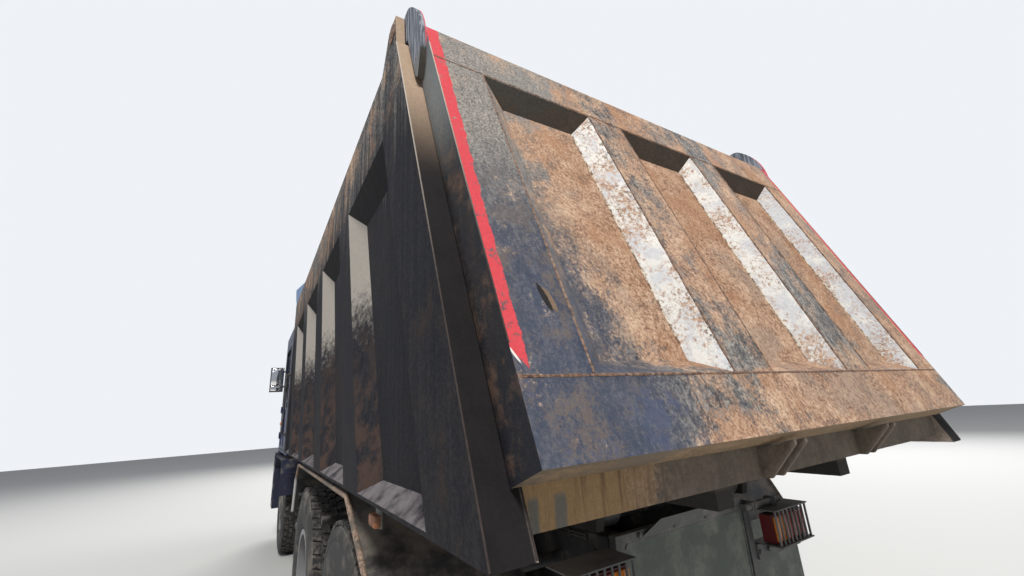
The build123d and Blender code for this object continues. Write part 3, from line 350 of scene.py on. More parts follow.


# The rust hole is a near-black spot, the shade inside it painted on.
torn_flap, hole_shade = smudge(1.032, 0.502, 0.3, 0.036, 0.012), smudge(1.044, 0.506, 0.24, 0.042, 0.009)
colour = torn_flap.between(colour, speck.between(rust_dark, (0.3, 0.2, 0.12)))
colour = hole_shade.between(colour, (0.006, 0.005, 0.005))
colour = smudge(0.97, 0.33, 0.0, 0.012, 0.012).between(colour, (0.012, 0.01, 0.01))
chip = smudge(1.171, 0.353, 0.48, 0.022, 0.003) * side_ways.rising(0.8, 0.5)
colour = chip.between(colour, bare_steel)
coat(gate_material, Base_Color=colour, Roughness=0.84 - (1 - mask) * 0.26 - bare * 0.2, Metallic=bare * 0.25,
     Specular_IOR_Level=0.3,
     height=speck * 0.0022 + patch * 0.0025 + place.mottle(5, 3, 0.5) * 0.006)
dress(gate_material, "tailgate")


def keep(shape, name, material, body="chassis", angle=35):
    """Makes a shape, drawn with x ahead of the foot, an object that moves with a body of the truck."""
    mesh = bpy.data.meshes.new(name)
    bmesh.ops.translate(shape, vec=(foot, 0, 0), verts=shape.verts)
    bmesh.ops.remove_doubles(shape, verts=shape.verts, dist=0.00005)
    bmesh.ops.recalc_face_normals(shape, faces=shape.faces)
    shape.to_mesh(mesh)
    shape.free()
    for face in mesh.polygons:
        face.use_smooth = True
    mesh.set_sharp_from_angle(angle=math.radians(angle))
    mesh.materials.append(material)
    made = bpy.data.objects.new(name, mesh)
    scene.collection.objects.link(made)
    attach(made, body)
    return made


def bar(shape, start, end, radius, sides=12, tip=None):
    """A round bar, or a cone where the tip has another radius."""
    start, end = Vector(start), Vector(end)
    turn = (end - start).to_track_quat("Z", "Y").to_matrix().to_4x4()
    bmesh.ops.create_cone(shape, cap_ends=True, segments=sides, radius1=radius,
                          radius2=radius if tip is None else tip, depth=(end - start).length,
                          matrix=Matrix.Translation((start + end) / 2) @ turn)


def slab(shape, corner, other, edge=0.003):
    """A rectangular piece between two opposite corners, with its edges rounded."""
    corner, other = Vector(corner), Vector(other)
    made = bmesh.ops.create_cube(shape, size=1, matrix=Matrix.Translation((corner + other) / 2)
                                 @ Matrix.Diagonal((*map(abs, other - corner), 1)))
    if edge:
        edges = dict.fromkeys(e for v in made["verts"] for e in v.link_edges)
        bmesh.ops.bevel(shape, geom=list(edges), offset=edge, segments=2, profile=0.5, affect="EDGES", material=-1)


def bead(shape, points, radius=0.006):
    """A run of weld along straight lines, a little lumpy."""
    for start, end in zip(points, points[1:]):
        start, end = Vector(start), Vector(end)
        run = end - start
        count = max(2, int(run.length / 0.05))
        for n in range(count):
            size = radius * (1.1 if n % 2 else 0.88)
            bar(shape, start + run * (n / count), start + run * ((n + 1.12) / count), size, 6, size * 0.86)


def on_gate(y, up, out):
    """A place on the gate, from its distance across it, up it and out from its inside."""
    point = gate_up * up + gate_out * out
    return Vector((point.x, y, sill + point.z))


weld_material, place = finish("rusty_weld")
speck = place.mottle(90, 5, 0.65)
coat(weld_material, Base_Color=speck.ramp((0.4, rust_dark), (0.6, rust_mid), (0.72, worn_pale)), Roughness=0.7,
     height=speck * 0.001)
weld_proud, weld_radius = frame_proud - 0.0015, 0.0045
seams = bmesh.new()
for panel in panels:
    for y in panel:
        bead(seams, (on_gate(y, 0.31, weld_proud), on_gate(y, 1.548, weld_proud)), weld_radius)
for height in (0.304, 1.556):
    bead(seams, (on_gate(-1.17, height, weld_proud), on_gate(1.17, height, weld_proud)), weld_radius)
keep(seams, "gate_welds", weld_material, "tailgate")


# Panel edges: where the gate's pressed panels meet the foot of their lit flanks, the paint has torn.
# What is left there is a ragged line of flaked primer and rust.
flank_width, recess_proud = 0.092, 0.0575
flaked, place = finish("flaked_primer")
flake = place.mottle(45, 6, 0.75)
coat(flaked, Base_Color=flake.rising(0.44, 0.56).between((0.16, 0.09, 0.055), (0.62, 0.56, 0.46)), Roughness=0.75,
     height=flake * 0.002)
torn = bmesh.new()
for panel in panels:
    y = panel[0] + flank_width
    bead(torn, (on_gate(y, 0.43, recess_proud), on_gate(y, 1.45, recess_proud)), 0.0055)
keep(torn, "flank_edges", flaked, "tailgate")


# Chafed corners: the folded edges of the body's rear posts and of the gate's side borders.
# Their paint is rubbed off down to pale primer, high up most of all. Lower down they are painted near black, which
# is painted shade.
chafed_edge_and_shade, place = finish("chafed_edge_and_shade")
speck = place.mottle(70, 5, 0.7)
high = place.along((0, 0, 1), (0, 0, sill)).rising(0.5, 1.5)
coat(chafed_edge_and_shade, Base_Color=high.between(speck.between((0.01, 0.01, 0.012), (0.07, 0.05, 0.045)),
                                          speck.between((0.3, 0.25, 0.2), (0.62, 0.56, 0.5))), Roughness=0.7,
     Specular_IOR_Level=0.2, height=speck * 0.0004)
post_rise = 1.73
post_lines = bmesh.new()
for side in (-1, 1):
    for y in (1.2485, 1.152):
        low = Vector((0.0075, side * y, sill + 0.003))
        bar(post_lines, low, low + Vector((slope * post_rise, 0, post_rise)), 0.0024, 8)
keep(post_lines, "post_edge_lines", chafed_edge_and_shade, "bed")
corner_lines = bmesh.new()
for y in (-1.1765, 1.1765):
    bar(corner_lines, on_gate(y, 0.38, 0.1175), on_gate(y, 1.655, 0.1175), 0.002, 8)
keep(corner_lines, "gate_corner_lines", chafed_edge_and_shade, "tailgate")


# Hinge pins: turned steel pins through the body's cheeks, which the gate's ears hang on.
# A rusty washer and the pin's own end show on the outside of each cheek.
pin = on_gate(0, 1.993, -0.044)
pins = bmesh.new()
for side in (-1, 1):
    outer = side * 1.242
    start = Vector((pin.x, outer, pin.z))
    bar(pins, start, start + Vector((0, side * 0.006, 0)), 0.042, 24)
    bar(pins, start, start + Vector((0, side * 0.007, 0)), 0.024, 20)
keep(pins, "hinge_washers", weld_material, "bed")


# Body sides and front wall: pressed ribs and posts welded on proud of thick plate panels.
# Blue-black paint, streaked and scraped, with rust on every edge and grey where the paint has chalked. Painted
# shade darkens it low down, under ledges and on the posts' rear faces, and painted highlights lighten the rib
# flanks.
body_material, place = finish("body_paint_and_shade")
level = place.along((0, 0, 1), (0, 0, sill))
from_middle = place.along((0, 1, 0)).size()
ahead_of_wall = place.along((1, 0, 0), (foot + 4.999, 0, 0)).rising(-0.002, 0.002)
outside = from_middle.maths("MAXIMUM", from_middle.rising(1.15, 1.16), ahead_of_wall)
rail = level.rising(1.36, 1.42)
tint, mask, speck, patch = rusted(place, rail * 0.03 - 0.055 + (1 - outside) * 0.13, 8.4)
paint = worn_paint(place, 5.5)
# Outer faces are painted near black in streaks, more towards the bottom, as painted shade.
streaks_and_shade = place.stretched(12, 12, 0.5).mottle(1.7, 6, 0.62) * 0.4 + level.rising(2.1, 0.3) * 0.42
colour = mask.between(paint, tint)
dark = patch.between((0.004, 0.0055, 0.012), (0.015, 0.0135, 0.015))
colour = (streaks_and_shade.rising(0.2, 0.42) * outside * 0.95).between(colour, dark)
slid = (place.stretched(1.2, 1.2, 9).mottle(2.2, 5, 0.6) * 0.6 + level.rising(1.5, 0.1) * 0.3).rising(0.4, 0.55)
upward = place.facing((0, 0, 1))
# Downward-facing outer faces are painted near black as painted shade.
underside_shade = upward.rising(-0.12, -0.4) * outside
dust = upward.rising(0.15, 0.7) * place.mottle(12, 4, 0.6).rising(0.3, 0.6)
proud_side = from_middle.rising(1.18, 1.19)
rearward = place.facing((-1, 0, 0))
# Rear-facing rib flanks are painted pale, paler higher up, as a painted highlight where light falls on them.
rib_side = rearward.rising(0.15, 0.3) * rearward.rising(0.6, 0.5) * proud_side
pale = rib_side * (place.mottle(30, 6, 0.8) * 0.5 + level.rising(0.45, 1.25) * 0.42).rising(0.3, 0.5)
colour = layered(colour, (slid * (1 - outside) * 0.75, speck, (0.13, 0.12, 0.11), (0.36, 0.34, 0.31)),
                 (underside_shade * 0.95, speck, (0.004, 0.004, 0.006), (0.014, 0.012, 0.012)),
                 (dust * 0.8, speck, (0.15, 0.135, 0.14), (0.24, 0.215, 0.22)),
                 (pale * 0.9, speck, (0.2, 0.185, 0.165), (0.46, 0.42, 0.37)))
brown = rib_side * level.rising(0.8, 0.1) * patch.rising(0.4, 0.6)
colour = (brown * 0.7).between(colour, (0.075, 0.045, 0.034))
# Rear faces are tan high up and near black lower down. The near black is a painted cast shadow.
tail = rearward.rising(0.8, 0.95) * outside
tan = level.rising(0.95, 1.5).between(speck.between((0.004, 0.004, 0.005), (0.016, 0.014, 0.014)),
                                      speck.between((0.24, 0.165, 0.11), (0.56, 0.42, 0.31)))
colour = (tail * 0.92).between(colour, tan)
coat(body_material, Base_Color=colour, Roughness=0.74 + mask * 0.14 + dust * 0.08,
     Specular_IOR_Level=0.15, height=speck * 0.0016 + patch * 0.0022 + place.mottle(4, 3, 0.5) * 0.005)
dress(body_material, "bed_side_left", "bed_side_right", "bed_front_wall")


# Floor: thick plate on bearers, welded to the sides, with the rear crossmember under its end.
# Clay has dried on the crossmember in runs, with two wiped patches near its left end and grey dust beyond.
floor_material, place = finish("floor_clay_and_rust")
tint, mask, speck, patch = rusted(place, 0.06, 15.2)
paint = worn_paint(place, 9.1)
across = place.along((0, 1, 0))
clay = (place.stretched(1, 3, 0.5).mottle(2.2, 5, 0.6) * 0.5 + across.rising(0.53, 0.98) * 0.4).rising(0.42, 0.56)
runs = place.stretched(16, 16, 1.3).mottle(2.4, 6, 0.7) * 0.75 + speck * 0.25
brushed = across + place.mottle(14, 3, 0.5) * 0.02
smear = brushed.rising(1.045, 1.054) * brushed.rising(1.084, 1.075)
smear = smear + brushed.rising(1.116, 1.124) * brushed.rising(1.148, 1.14)
level = place.along((0, 0, 1), (0, 0, sill))
smear = smear * level.rising(0.1, 0.085)
greyed = (1 - clay) * across.rising(1.1, 0.6)
colour = layered(mask.between(paint, tint), (clay * 0.92, speck, (0.2, 0.125, 0.055), (0.4, 0.26, 0.125)),
                 (runs.rising(0.5, 0.62) * 0.75, patch, (0.05, 0.028, 0.015), (0.17, 0.1, 0.05)),
                 (smear * 0.8, speck, (0.06, 0.075, 0.08), (0.15, 0.165, 0.16)),
                 (greyed * 0.85, patch, (0.065, 0.058, 0.048), (0.15, 0.135, 0.11)),
                 (level.rising(0.02, -0.01), speck, (0.012, 0.012, 0.012), (0.045, 0.04, 0.035)))
coat(floor_material, Base_Color=colour, Roughness=0.88, height=speck * 0.0016 + patch * 0.003)
dress(floor_material, "bed_floor")


# Canopy: folded sheet on the front wall's head, which keeps the load off the cab.
# Its paint is a paler, chalked blue than the body's, with little rust.
canopy_material, place = finish("canopy_pale_blue")
tint, mask, speck, patch = rusted(place, -0.13, 21.7)
paint = place.mottle(6, 5, 0.6).between((0.13, 0.22, 0.4), (0.2, 0.31, 0.5))
colour = mask.between(paint, tint)
coat(canopy_material, Base_Color=colour, Roughness=0.5 + mask * 0.35, height=speck * 0.0008 + patch * 0.0012)
dress(canopy_material, "bed_canopy")


# Chassis: black painted rails, subframe, axles and springs, all under grey road dust with rust in spots.
grime = (0.2, 0.175, 0.145)


def dusty(name, paint, amount, gloss, seed, metal=0.0, dust_colour=grime):
    """Rust-spotted paint or metal of so much gloss, under a film of dust that lies thickest on its tops."""
    material, place = finish(name)
    tint, mask, speck, patch = rusted(place, -0.14, seed)
    upward = place.facing((0, 0, 1)).rising(-0.1, 0.8)
    film = (place.mottle(7, 6, 0.65) + upward * 0.2 + amount).rising(0.5, 0.78)
    darker = tuple(c * 0.6 for c in paint)
    colour = mask.between(speck.between(darker, paint), tint)
    colour = (film * 0.85).between(colour, patch.between(tuple(c * 0.7 for c in dust_colour), dust_colour))
    return coat(material, Base_Color=colour, Roughness=gloss + film * (0.9 - gloss), Metallic=metal - film * metal,
                height=speck * 0.0007 + film * 0.0008)


for name, fitted, paint, *look in (
        ("chassis_black", "chassis_frame subframe", (0.03, 0.03, 0.032), 0.0, 0.5, 2.0),
        ("cast_parts", "engine drive_axles front_axle_beam knuckle_left knuckle_right", (0.06, 0.055, 0.05),
         0.08, 0.7, 4.0),
        ("spring_leaves", "leaf_springs tie_rod", (0.07, 0.06, 0.055), 0.04, 0.6, 5.0),
        ("rim_grey", "rim_front_left rim_front_right rims_middle_left rims_middle_right rims_rear_left "
         "rims_rear_right", (0.24, 0.24, 0.25), -0.04, 0.45, 6.0),
        ("black_plastic", "rear_mudguards battery_box mirrors", (0.025, 0.025, 0.027), -0.02, 0.55, 7.0),
        ("wheel_arch_navy", "cab_steps", (0.012, 0.017, 0.045), -0.1, 0.5, 7.0),
        ("tank_alloy", "fuel_tank", (0.55, 0.56, 0.57), -0.06, 0.35, 10.0, 0.9),
        ("silencer_steel", "silencer", (0.32, 0.3, 0.27), -0.02, 0.5, 11.0, 0.7),
        ("hoist_black", "hoist_barrel", (0.04, 0.04, 0.045), -0.05, 0.4, 12.0),
        ("hoist_chrome", "hoist_stage_one hoist_stage_two hoist_stage_three hoist_stage_four", (0.7, 0.7, 0.7),
         -0.16, 0.12, 13.0, 1.0)):
    dress(dusty(name, paint, *look), *fitted.split())
dress(dusty("apron_rubber", (0.12, 0.14, 0.12), 0.06, 0.75, 9.0, 0.0, (0.26, 0.265, 0.23)), "mud_flaps")


rail_face = 0.43
frame_bolts = dusty("frame_bolts", (0.05, 0.047, 0.045), 0.02, 0.55, 33.0, 0.3)
bolts = bmesh.new()
for side in (-1, 1):
    for n in range(25):
        x = 0.72 + n * 0.25
        for z in (0.815, 0.998):
            start = Vector((x + (0.03 if z < 0.9 else 0), side * rail_face, z))
            bar(bolts, start, start + Vector((0, side * 0.009, 0)), 0.012, 6)
    for z in (1.031, 1.043):
        bar(bolts, (0.75, side * 0.436, z), (6.3, side * 0.436, z), 0.0048, 8)
    for n in range(12):
        x = 0.85 + n * 0.48
        slab(bolts, (x, side * rail_face, 1.02), (x + 0.018, side * 0.443, 1.05), 0.002)
keep(bolts, "frame_bolts_and_pipes", frame_bolts)


# Springs: stacks of flat spring-steel leaves, held by U-bolts on the bogie's trunnion and on the front axle.
# The leaves are rusty at their edges and dusty on top.
def leaf(shape, middle, half, low, thick, sides, bow):
    """One leaf bowed about its middle, its outline drawn along its length and then taken across."""
    count = 12
    places = [half * (2 * n / count - 1) for n in range(count + 1)]
    under = [shape.verts.new((middle + x, sides[0], low + bow * x * x)) for x in places]
    over = [shape.verts.new((middle + x, sides[0], low + thick + bow * x * x)) for x in reversed(places)]
    wide = bmesh.ops.extrude_face_region(shape, geom=[shape.faces.new(under + over)])
    bmesh.ops.translate(shape, vec=(0, sides[1] - sides[0], 0),
                        verts=[v for v in wide["geom"] if isinstance(v, bmesh.types.BMVert)])


def u_bolts(shape, x, apart, ys, low, high, radius):
    """Two bolts bent over a spring, one behind and one ahead of a place along it."""
    for x in (x - apart, x + apart):
        for y in ys:
            bar(shape, (x, y, low), (x, y, high), radius)
        bar(shape, (x, ys[0], high), (x, ys[1], high), radius)


springs = bmesh.new()
bogie, front_axle = 2.2, 6.15
for side in (-1, 1):
    sides = sorted((side * 0.461, side * 0.544))
    for n in range(9):
        leaf(springs, bogie, 0.76 - n * 0.07, 0.681 + n * 0.016, 0.0152, sides, -0.036)
    slab(springs, (bogie - 0.08, sides[0], 0.615), (bogie + 0.08, sides[1], 0.681), 0.004)
    slab(springs, (bogie - 0.12, sides[0] + 0.004, 0.824), (bogie + 0.12, sides[1] - 0.004, 0.842), 0.004)
    u_bolts(springs, bogie, 0.095, (sides[0] - 0.012, sides[1] + 0.012), 0.61, 0.845, 0.0105)
    sides = sorted((side * 0.351, side * 0.429))
    for n in range(6):
        leaf(springs, front_axle, 0.76 - n * 0.1, 0.683 - n * 0.0165, 0.0158, sides, 0.069)
    for x in (front_axle - 0.72, front_axle + 0.72):
        slab(springs, (x - 0.035, sides[0], 0.73), (x + 0.035, sides[1], 0.785), 0.006)
        y = side * 0.39
        bar(springs, (x, y - 0.047, 0.752), (x, y + 0.047, 0.752), 0.022, 16)
    u_bolts(springs, front_axle, 0.06, (sides[0] - 0.008, sides[1] + 0.008), 0.545, 0.705, 0.009)
spring_piece = keep(springs, "spring_leaves", nodes["leaf_springs"].material_slots[0].material)
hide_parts("leaf_springs")


# Rear end: the clamped tube over the right lamp guard, the apron's border and flange, lenses and side lamps.
# Lenses are moulded plastic in the bar's guards, the apron is rubber sheet held by bolted steel strips.
rear_x = frame_end
steel_strips = dusty("rear_steel_strips", (0.085, 0.09, 0.09), 0.05, 0.55, 35.0, 0.0, (0.27, 0.25, 0.225))
dress(steel_strips, "rear_bar")
strips = bmesh.new()
bar(strips, (0.57, -0.335, 1.045), (0.57, -0.625, 1.045), 0.015, 20)
for y in (-0.39, -0.55):
    slab(strips, (0.548, y - 0.014, 1.024), (0.592, y + 0.014, 1.064), 0.006)
    bar(strips, (0.545, y, 1.024), (0.545, y, 1.07), 0.004, 8)
border = [(0.375, 0.56), (0.375, 1.0), (0.355, 1.025), (-0.372, 1.025), (-0.372, 0.56)]
for start, end in zip(border, border[1:]):
    bar(strips, (rear_x - 0.026, *start), (rear_x - 0.026, *end), 0.0045, 10)
flange = [(-0.37, 1.03), (0.3, 1.03), (0.2, 1.09), (-0.33, 1.09)]
corners = [strips.verts.new((rear_x - 0.036 - (0.03 if z > 1.05 else 0), y, z)) for y, z in flange]
bmesh.ops.solidify(strips, geom=[strips.faces.new(corners)], thickness=0.004)
for y in (-0.3, -0.1, 0.1, 0.3):
    bar(strips, (rear_x - 0.035, y, 1.045), (rear_x - 0.047, y, 1.045), 0.01, 6)
for side in (-1, 1):
    for y in (0.43, 0.5, 0.66, 0.75):
        bar(strips, (rear_x - 0.045, side * y, 0.845), (rear_x - 0.056, side * y, 0.845), 0.011, 6)
keep(strips, "rear_strips_and_tube", steel_strips)


def filmed(name, colour, dust, share, clouds, sheen, metal=0.0, tarnish=0.0, flutes=None, **more):
    """A moulded or plated surface under so large a share of dust.

    The clouds of dust have a scale and the noise where they start and are full, the sheen its roughness
    clean and what dust adds, and flutes a scale and a height.
    """
    material, place = finish(name)
    film = place.mottle(clouds[0], 5, 0.65).rising(*clouds[1:])
    if flutes:
        wave = place.node("ShaderNodeTexWave", {"bands_direction": "Y"}, {"Scale": flutes[0], "Vector": place})
        more["height"] = wave * flutes[1]
    return coat(material, Base_Color=(film * share).between(colour, dust), Roughness=sheen[0] + film * sheen[1],
                Metallic=metal - film * tarnish if tarnish else metal, **more)


lens_red = filmed("lens_red", (0.36, 0.014, 0.012), (0.2, 0.12, 0.095), 0.6, (18, 0.42, 0.7), (0.16, 0.5),
                  flutes=(24.0, 0.0006), Coat_Weight=0.5)
dress(dusty("tail_lamp_cases", (0.14, 0.012, 0.014), -0.02, 0.35, 37.0, 0.0, (0.1, 0.07, 0.06)), "tail_lamps")
lens_amber = filmed("lens_amber", (0.75, 0.22, 0.012), (0.3, 0.2, 0.11), 0.5, (18, 0.42, 0.7), (0.16, 0.5),
                    Coat_Weight=0.5)
for material, name, fields in ((lens_red, "red", ((0.534, 0.606), (0.61, 0.7))),
                               (lens_amber, "amber", ((0.46, 0.53),))):
    lenses = bmesh.new()
    for side in (-1, 1):
        for near, far in fields:
            slab(lenses, (0.511, side * near, 0.892), (0.524, side * far, 0.993), 0.004)
    keep(lenses, "tail_lens_" + name, material)
side_lamps = bmesh.new()
for side in (-1, 1):
    slab(side_lamps, (0.84, side * 1.215, 1.19), (0.925, side * 1.238, 1.228), 0.006)
amber_dusty = filmed("lens_amber_dusty", (0.3, 0.085, 0.012), (0.07, 0.05, 0.038), 0.75, (30, 0.3, 0.6), (0.3, 0.5))
keep(side_lamps, "side_lamps", amber_dusty, "bed")
lamp_feet = bmesh.new()
for side in (-1, 1):
    slab(lamp_feet, (0.85, side * 1.208, 1.185), (0.915, side * 1.216, 1.266), 0.002)
keep(lamp_feet, "side_lamp_brackets", steel_strips, "bed")


# Mudguards: folded sheet with a rolled edge along the outside, bolted to their stays.
# The rims are chafed bare and rusty, the sheets are black under dust.
rolled, place = finish("rolled_edge_rust")
tint, mask, speck, patch = rusted(place, 0.02, 41.0)
front_end = place.along((1, 0, 0), (foot + 3.5, 0, 0)).rising(0, 0.05)
colour = (mask * 0.5).between(speck.between((0.05, 0.043, 0.038), (0.14, 0.118, 0.1)), tint)
colour = (front_end * 0.9).between(colour, speck.between((0.3, 0.29, 0.28), (0.62, 0.61, 0.6)))
coat(rolled, Base_Color=colour, Roughness=0.8, height=speck * 0.001)


def ball(shape, place, radius, sides=12):
    bmesh.ops.create_uvsphere(shape, u_segments=sides, v_segments=max(6, sides // 2), radius=radius,
                              matrix=Matrix.Translation(place))


rims_edge = bmesh.new()
guard_line = ((0.87, 0.86), (0.96, 1.035), (1.33, 1.236), (3.38, 1.236), (3.56, 1.11), (3.66, 0.86))
for side in (-1, 1):
    points = [Vector((x, side * 1.236, z - 0.004)) for x, z in guard_line]
    for start, end in zip(points, points[1:]):
        bar(rims_edge, start, end, 0.011, 12)
    for point in points:
        ball(rims_edge, point, 0.011)
keep(rims_edge, "mudguard_rims", rolled)


# Tyres: block-treaded truck tyres, moulded rubber with ribs round the walls and mud dried in the grooves.
# They sit in pairs on the driven axles and singly in front.
def carcass(shape, middle, axle):
    """One tyre turned about its axle, without its tread blocks."""
    profile = [(0.262, 0.108), (0.285, 0.122), (0.295, 0.136), (0.31, 0.136), (0.32, 0.142), (0.37, 0.1485),
               (0.412, 0.15), (0.455, 0.1485), (0.47, 0.1435), (0.48, 0.1465), (0.505, 0.1425), (0.524, 0.135),
               (0.536, 0.115), (0.54, 0.06), (0.541, 0.0)]
    outline = profile + [(r, -y) for r, y in reversed(profile[:-1])]
    ring = [shape.verts.new((axle.x, axle.y + middle + y, axle.z + r)) for r, y in outline]
    loop = [shape.edges.new((first, second)) for first, second in zip(ring, ring[1:])]
    bmesh.ops.spin(shape, geom=ring + loop, cent=axle, axis=(0, 1, 0), angle=math.tau, steps=96, use_merge=True)


def tread(shape, middle, axle, pitches=46):
    """Two shoulder rows and three inner rows of rubber blocks round one tyre."""
    pitch = math.tau / pitches
    width = pitch * 0.548 * 0.74
    rows = ((0.1075, 0.0475, 0.545, 0.0, 0.35), (0.052, 0.044, 0.5485, 0.5, 0.35), (0.0, 0.04, 0.549, 0.0, 0.0),
            (-0.052, 0.044, 0.5485, 0.5, -0.35), (-0.1075, 0.0475, 0.545, 0.0, -0.35))
    blocks = []
    for offset, breadth, radius, phase, slant in rows:
        place = Matrix.Translation((axle.x, axle.y + middle + offset, axle.z)) @ Matrix.Rotation(
            phase * pitch, 4, "Y") @ Matrix.Translation((0, 0, radius - 0.004))
        shear = Matrix.Identity(4)
        shear[0][1] = slant
        made = bmesh.ops.create_cube(shape, size=1, matrix=place @ shear @ Matrix.Diagonal(
            (width, breadth, 0.017, 1)))["verts"]
        for corner in made:
            if (corner.co - axle).length > 0.5 and corner.co.z > axle.z + radius:
                corner.co.x = axle.x + (corner.co.x - axle.x) * 0.93
        blocks += made
    geom = dict.fromkeys([*blocks, *(edge for vert in blocks for edge in vert.link_edges),
                          *(face for vert in blocks for face in vert.link_faces)])
    bmesh.ops.spin(shape, geom=list(geom), cent=axle, axis=(0, 1, 0), angle=math.tau - pitch, steps=pitches - 1,
                   use_duplicate=True)


tyre_walls, place = finish("tyre_walls")
mud = (place.mottle(6, 6, 0.65) + place.facing((0, 0, 1)).rising(-0.2, 1) * 0.12).rising(0.5, 0.72)
grain = place.mottle(160, 3, 0.7)
colour = (mud * 0.8).between(grain.between((0.016, 0.016, 0.017), (0.04, 0.039, 0.038)),
                             grain.between((0.1, 0.088, 0.072), (0.2, 0.178, 0.15)))
coat(tyre_walls, Base_Color=colour, Roughness=0.86, height=grain * 0.0006)
tread_rubber, place = finish("tread_rubber")
scuff = place.mottle(38, 5, 0.7)
colour = scuff.rising(0.42, 0.66).between((0.02, 0.02, 0.021), (0.11, 0.1, 0.088))
coat(tread_rubber, Base_Color=colour, Roughness=0.9, height=scuff * 0.0008)


def span(node):
    """The two corners of a node's box, with x ahead of the foot."""
    return [Vector(corner) - Vector((foot, 0, 0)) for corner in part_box(node)]


def tyres(node, middles, body):
    """The tyres of one wheel place, with their tread. Gives the middle of their axle."""
    low, high = span(node)
    axle = (low + high) / 2
    shape = bmesh.new()
    for middle in middles:
        carcass(shape, middle, axle)
    walls = len(shape.faces)
    for middle in middles:
        tread(shape, middle, axle)
    shape.faces.ensure_lookup_table()
    for face in shape.faces[walls:]:
        face.material_index = 1
    piece = keep(shape, node + "_tread", tyre_walls, body, 30)
    piece.data.materials.append(tread_rubber)
    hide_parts(node)
    return axle


twin = 0.1725
nuts, nut_circle, cap_bolts, cap_circle = 10, 0.163, 8, 0.125
for hand in ("left", "right"):
    side = 1 if hand == "left" else -1
    for position, middles in (("front", (0,)), ("middle", (-twin, twin)), ("rear", (-twin, twin))):
        single = position == "front"
        body = f"wheel_{position}_{hand}" if single else f"wheels_{position}_{hand}"
        axle = tyres(f"{'tyre' if single else 'tyres'}_{position}_{hand}", middles, body)
        disc = axle.y + side * (0.073 if single else 0.013)
        end = axle.y + side * 0.14
        fittings = bmesh.new()
        round_parts = [(end, 0, 0, 0.006, 0.145, 40), (end, 0, 0, 0.022, 0.095, 32, 0.07),
                       (disc, 0.235, 0, 0.05, 0.005, 8)]
        for n in range(nuts):
            turn = math.tau * (n + 0.5) / nuts
            round_parts += [(disc, nut_circle, turn, 0.024, 0.0165, 6), (disc, nut_circle, turn, 0.036, 0.009, 8)]
        for n in range(cap_bolts):
            round_parts.append((end, cap_circle, math.tau * n / cap_bolts, 0.008, 0.009, 6))
        for y, circle, turn, length, *outline in round_parts:
            spot = Vector((axle.x + circle * math.cos(turn), y, axle.z + circle * math.sin(turn)))
            bar(fittings, spot, spot + Vector((0, side * length, 0)), *outline)
        keep(fittings, body + "_nuts", dusty(body + "_nuts", (0.12, 0.115, 0.11), 0.02, 0.5, 31.0, 0.4), body)


# Tanks: a bright alloy fuel tank on the right, batteries and air tanks on the left, and a silencer.
# Steel straps with rubber under them hold each to its brackets, drawn tight by bolts.
strap_material = dusty("strap_steel", (0.16, 0.16, 0.16), -0.02, 0.4, 43.0, 0.6)


def loop_round(shape, x, wide, low, high, radius, thick):
    """A strap round a tank whose corners are rounded, seen along the truck."""
    corners = ((low[0], low[1], 180), (high[0], low[1], 270), (high[0], high[1], 0), (low[0], high[1], 90))
    reach = radius + thick
    outline = []
    for y, z, start in corners:
        centre_y = y + radius if y == low[0] else y - radius
        centre_z = z + radius if z == low[1] else z - radius
        for n in range(7):
            turn = math.radians(start + n * 15)
            outline.append((centre_y + math.cos(turn) * reach, centre_z + math.sin(turn) * reach))
    ring = [shape.verts.new((x, y, z)) for y, z in outline]
    edges = [shape.edges.new((first, second)) for first, second in zip(ring, ring[1:] + ring[:1])]
    made = bmesh.ops.extrude_edge_only(shape, edges=edges)["geom"]
    bmesh.ops.translate(shape, vec=(wide, 0, 0), verts=[v for v in made if isinstance(v, bmesh.types.BMVert)])
    faces = [f for f in made if isinstance(f, bmesh.types.BMFace)]
    bmesh.ops.recalc_face_normals(shape, faces=faces)
    bmesh.ops.solidify(shape, geom=faces, thickness=thick)


straps = bmesh.new()
tank_low, tank_high = span("fuel_tank")
tank_in, tank_top = -0.47, 1.04
for share in (0.14, 0.5, 0.86):
    x = tank_low[0] + share * (tank_high[0] - tank_low[0]) - 0.02
    loop_round(straps, x, 0.045, tank_low.yz, (tank_in, min(tank_high[2], tank_top)), 0.12, 0.003)
cap = Vector((tank_low[0] + 0.16, -0.93, 1.035))
bar(straps, cap, cap + Vector((0, 0, 0.03)), 0.05, 24)
bar(straps, cap + Vector((0, 0, 0.03)), cap + Vector((0, 0, 0.045)), 0.06, 8)
box_low, box_high = span("battery_box")
for side_y in (0.62, 0.87):
    for z in (0.64, 0.88):
        for x in (box_high[0] - 0.3, box_high[0] - 0.12):
            bar(straps, (x, side_y, z), (x + 0.035, side_y, z), 0.108, 28)
for x in (box_low[0] + 0.12, box_low[0] + 0.46):
    slab(straps, (x, 1.028, 0.72), (x + 0.05, 1.04, 0.82), 0.003)
slab(straps, (box_low[0] - 0.004, 0.472, 0.955), (box_low[0] + 0.624, 1.036, 1.006), 0.006)
keep(straps, "tank_straps_and_lids", strap_material)
slots = bmesh.new()
pipe_low, pipe_high = span("silencer")
for n in range(7):
    z = 0.62 + n * 0.055
    slab(slots, (pipe_low[0] + 0.05, 1.025, z), (pipe_high[0] - 0.05, 1.036, z + 0.022), 0.004)
bar(slots, (pipe_low[0] + 0.12, 0.75, 0.565), (pipe_low[0] + 0.12, 0.75, 0.46), 0.055, 24)
bar(slots, (pipe_low[0] + 0.12, 0.75, 0.47), (pipe_low[0] + 0.12, 1.06, 0.45), 0.055, 24)
keep(slots, "silencer_ribs_and_outlet", nodes["silencer"].material_slots[0].material)


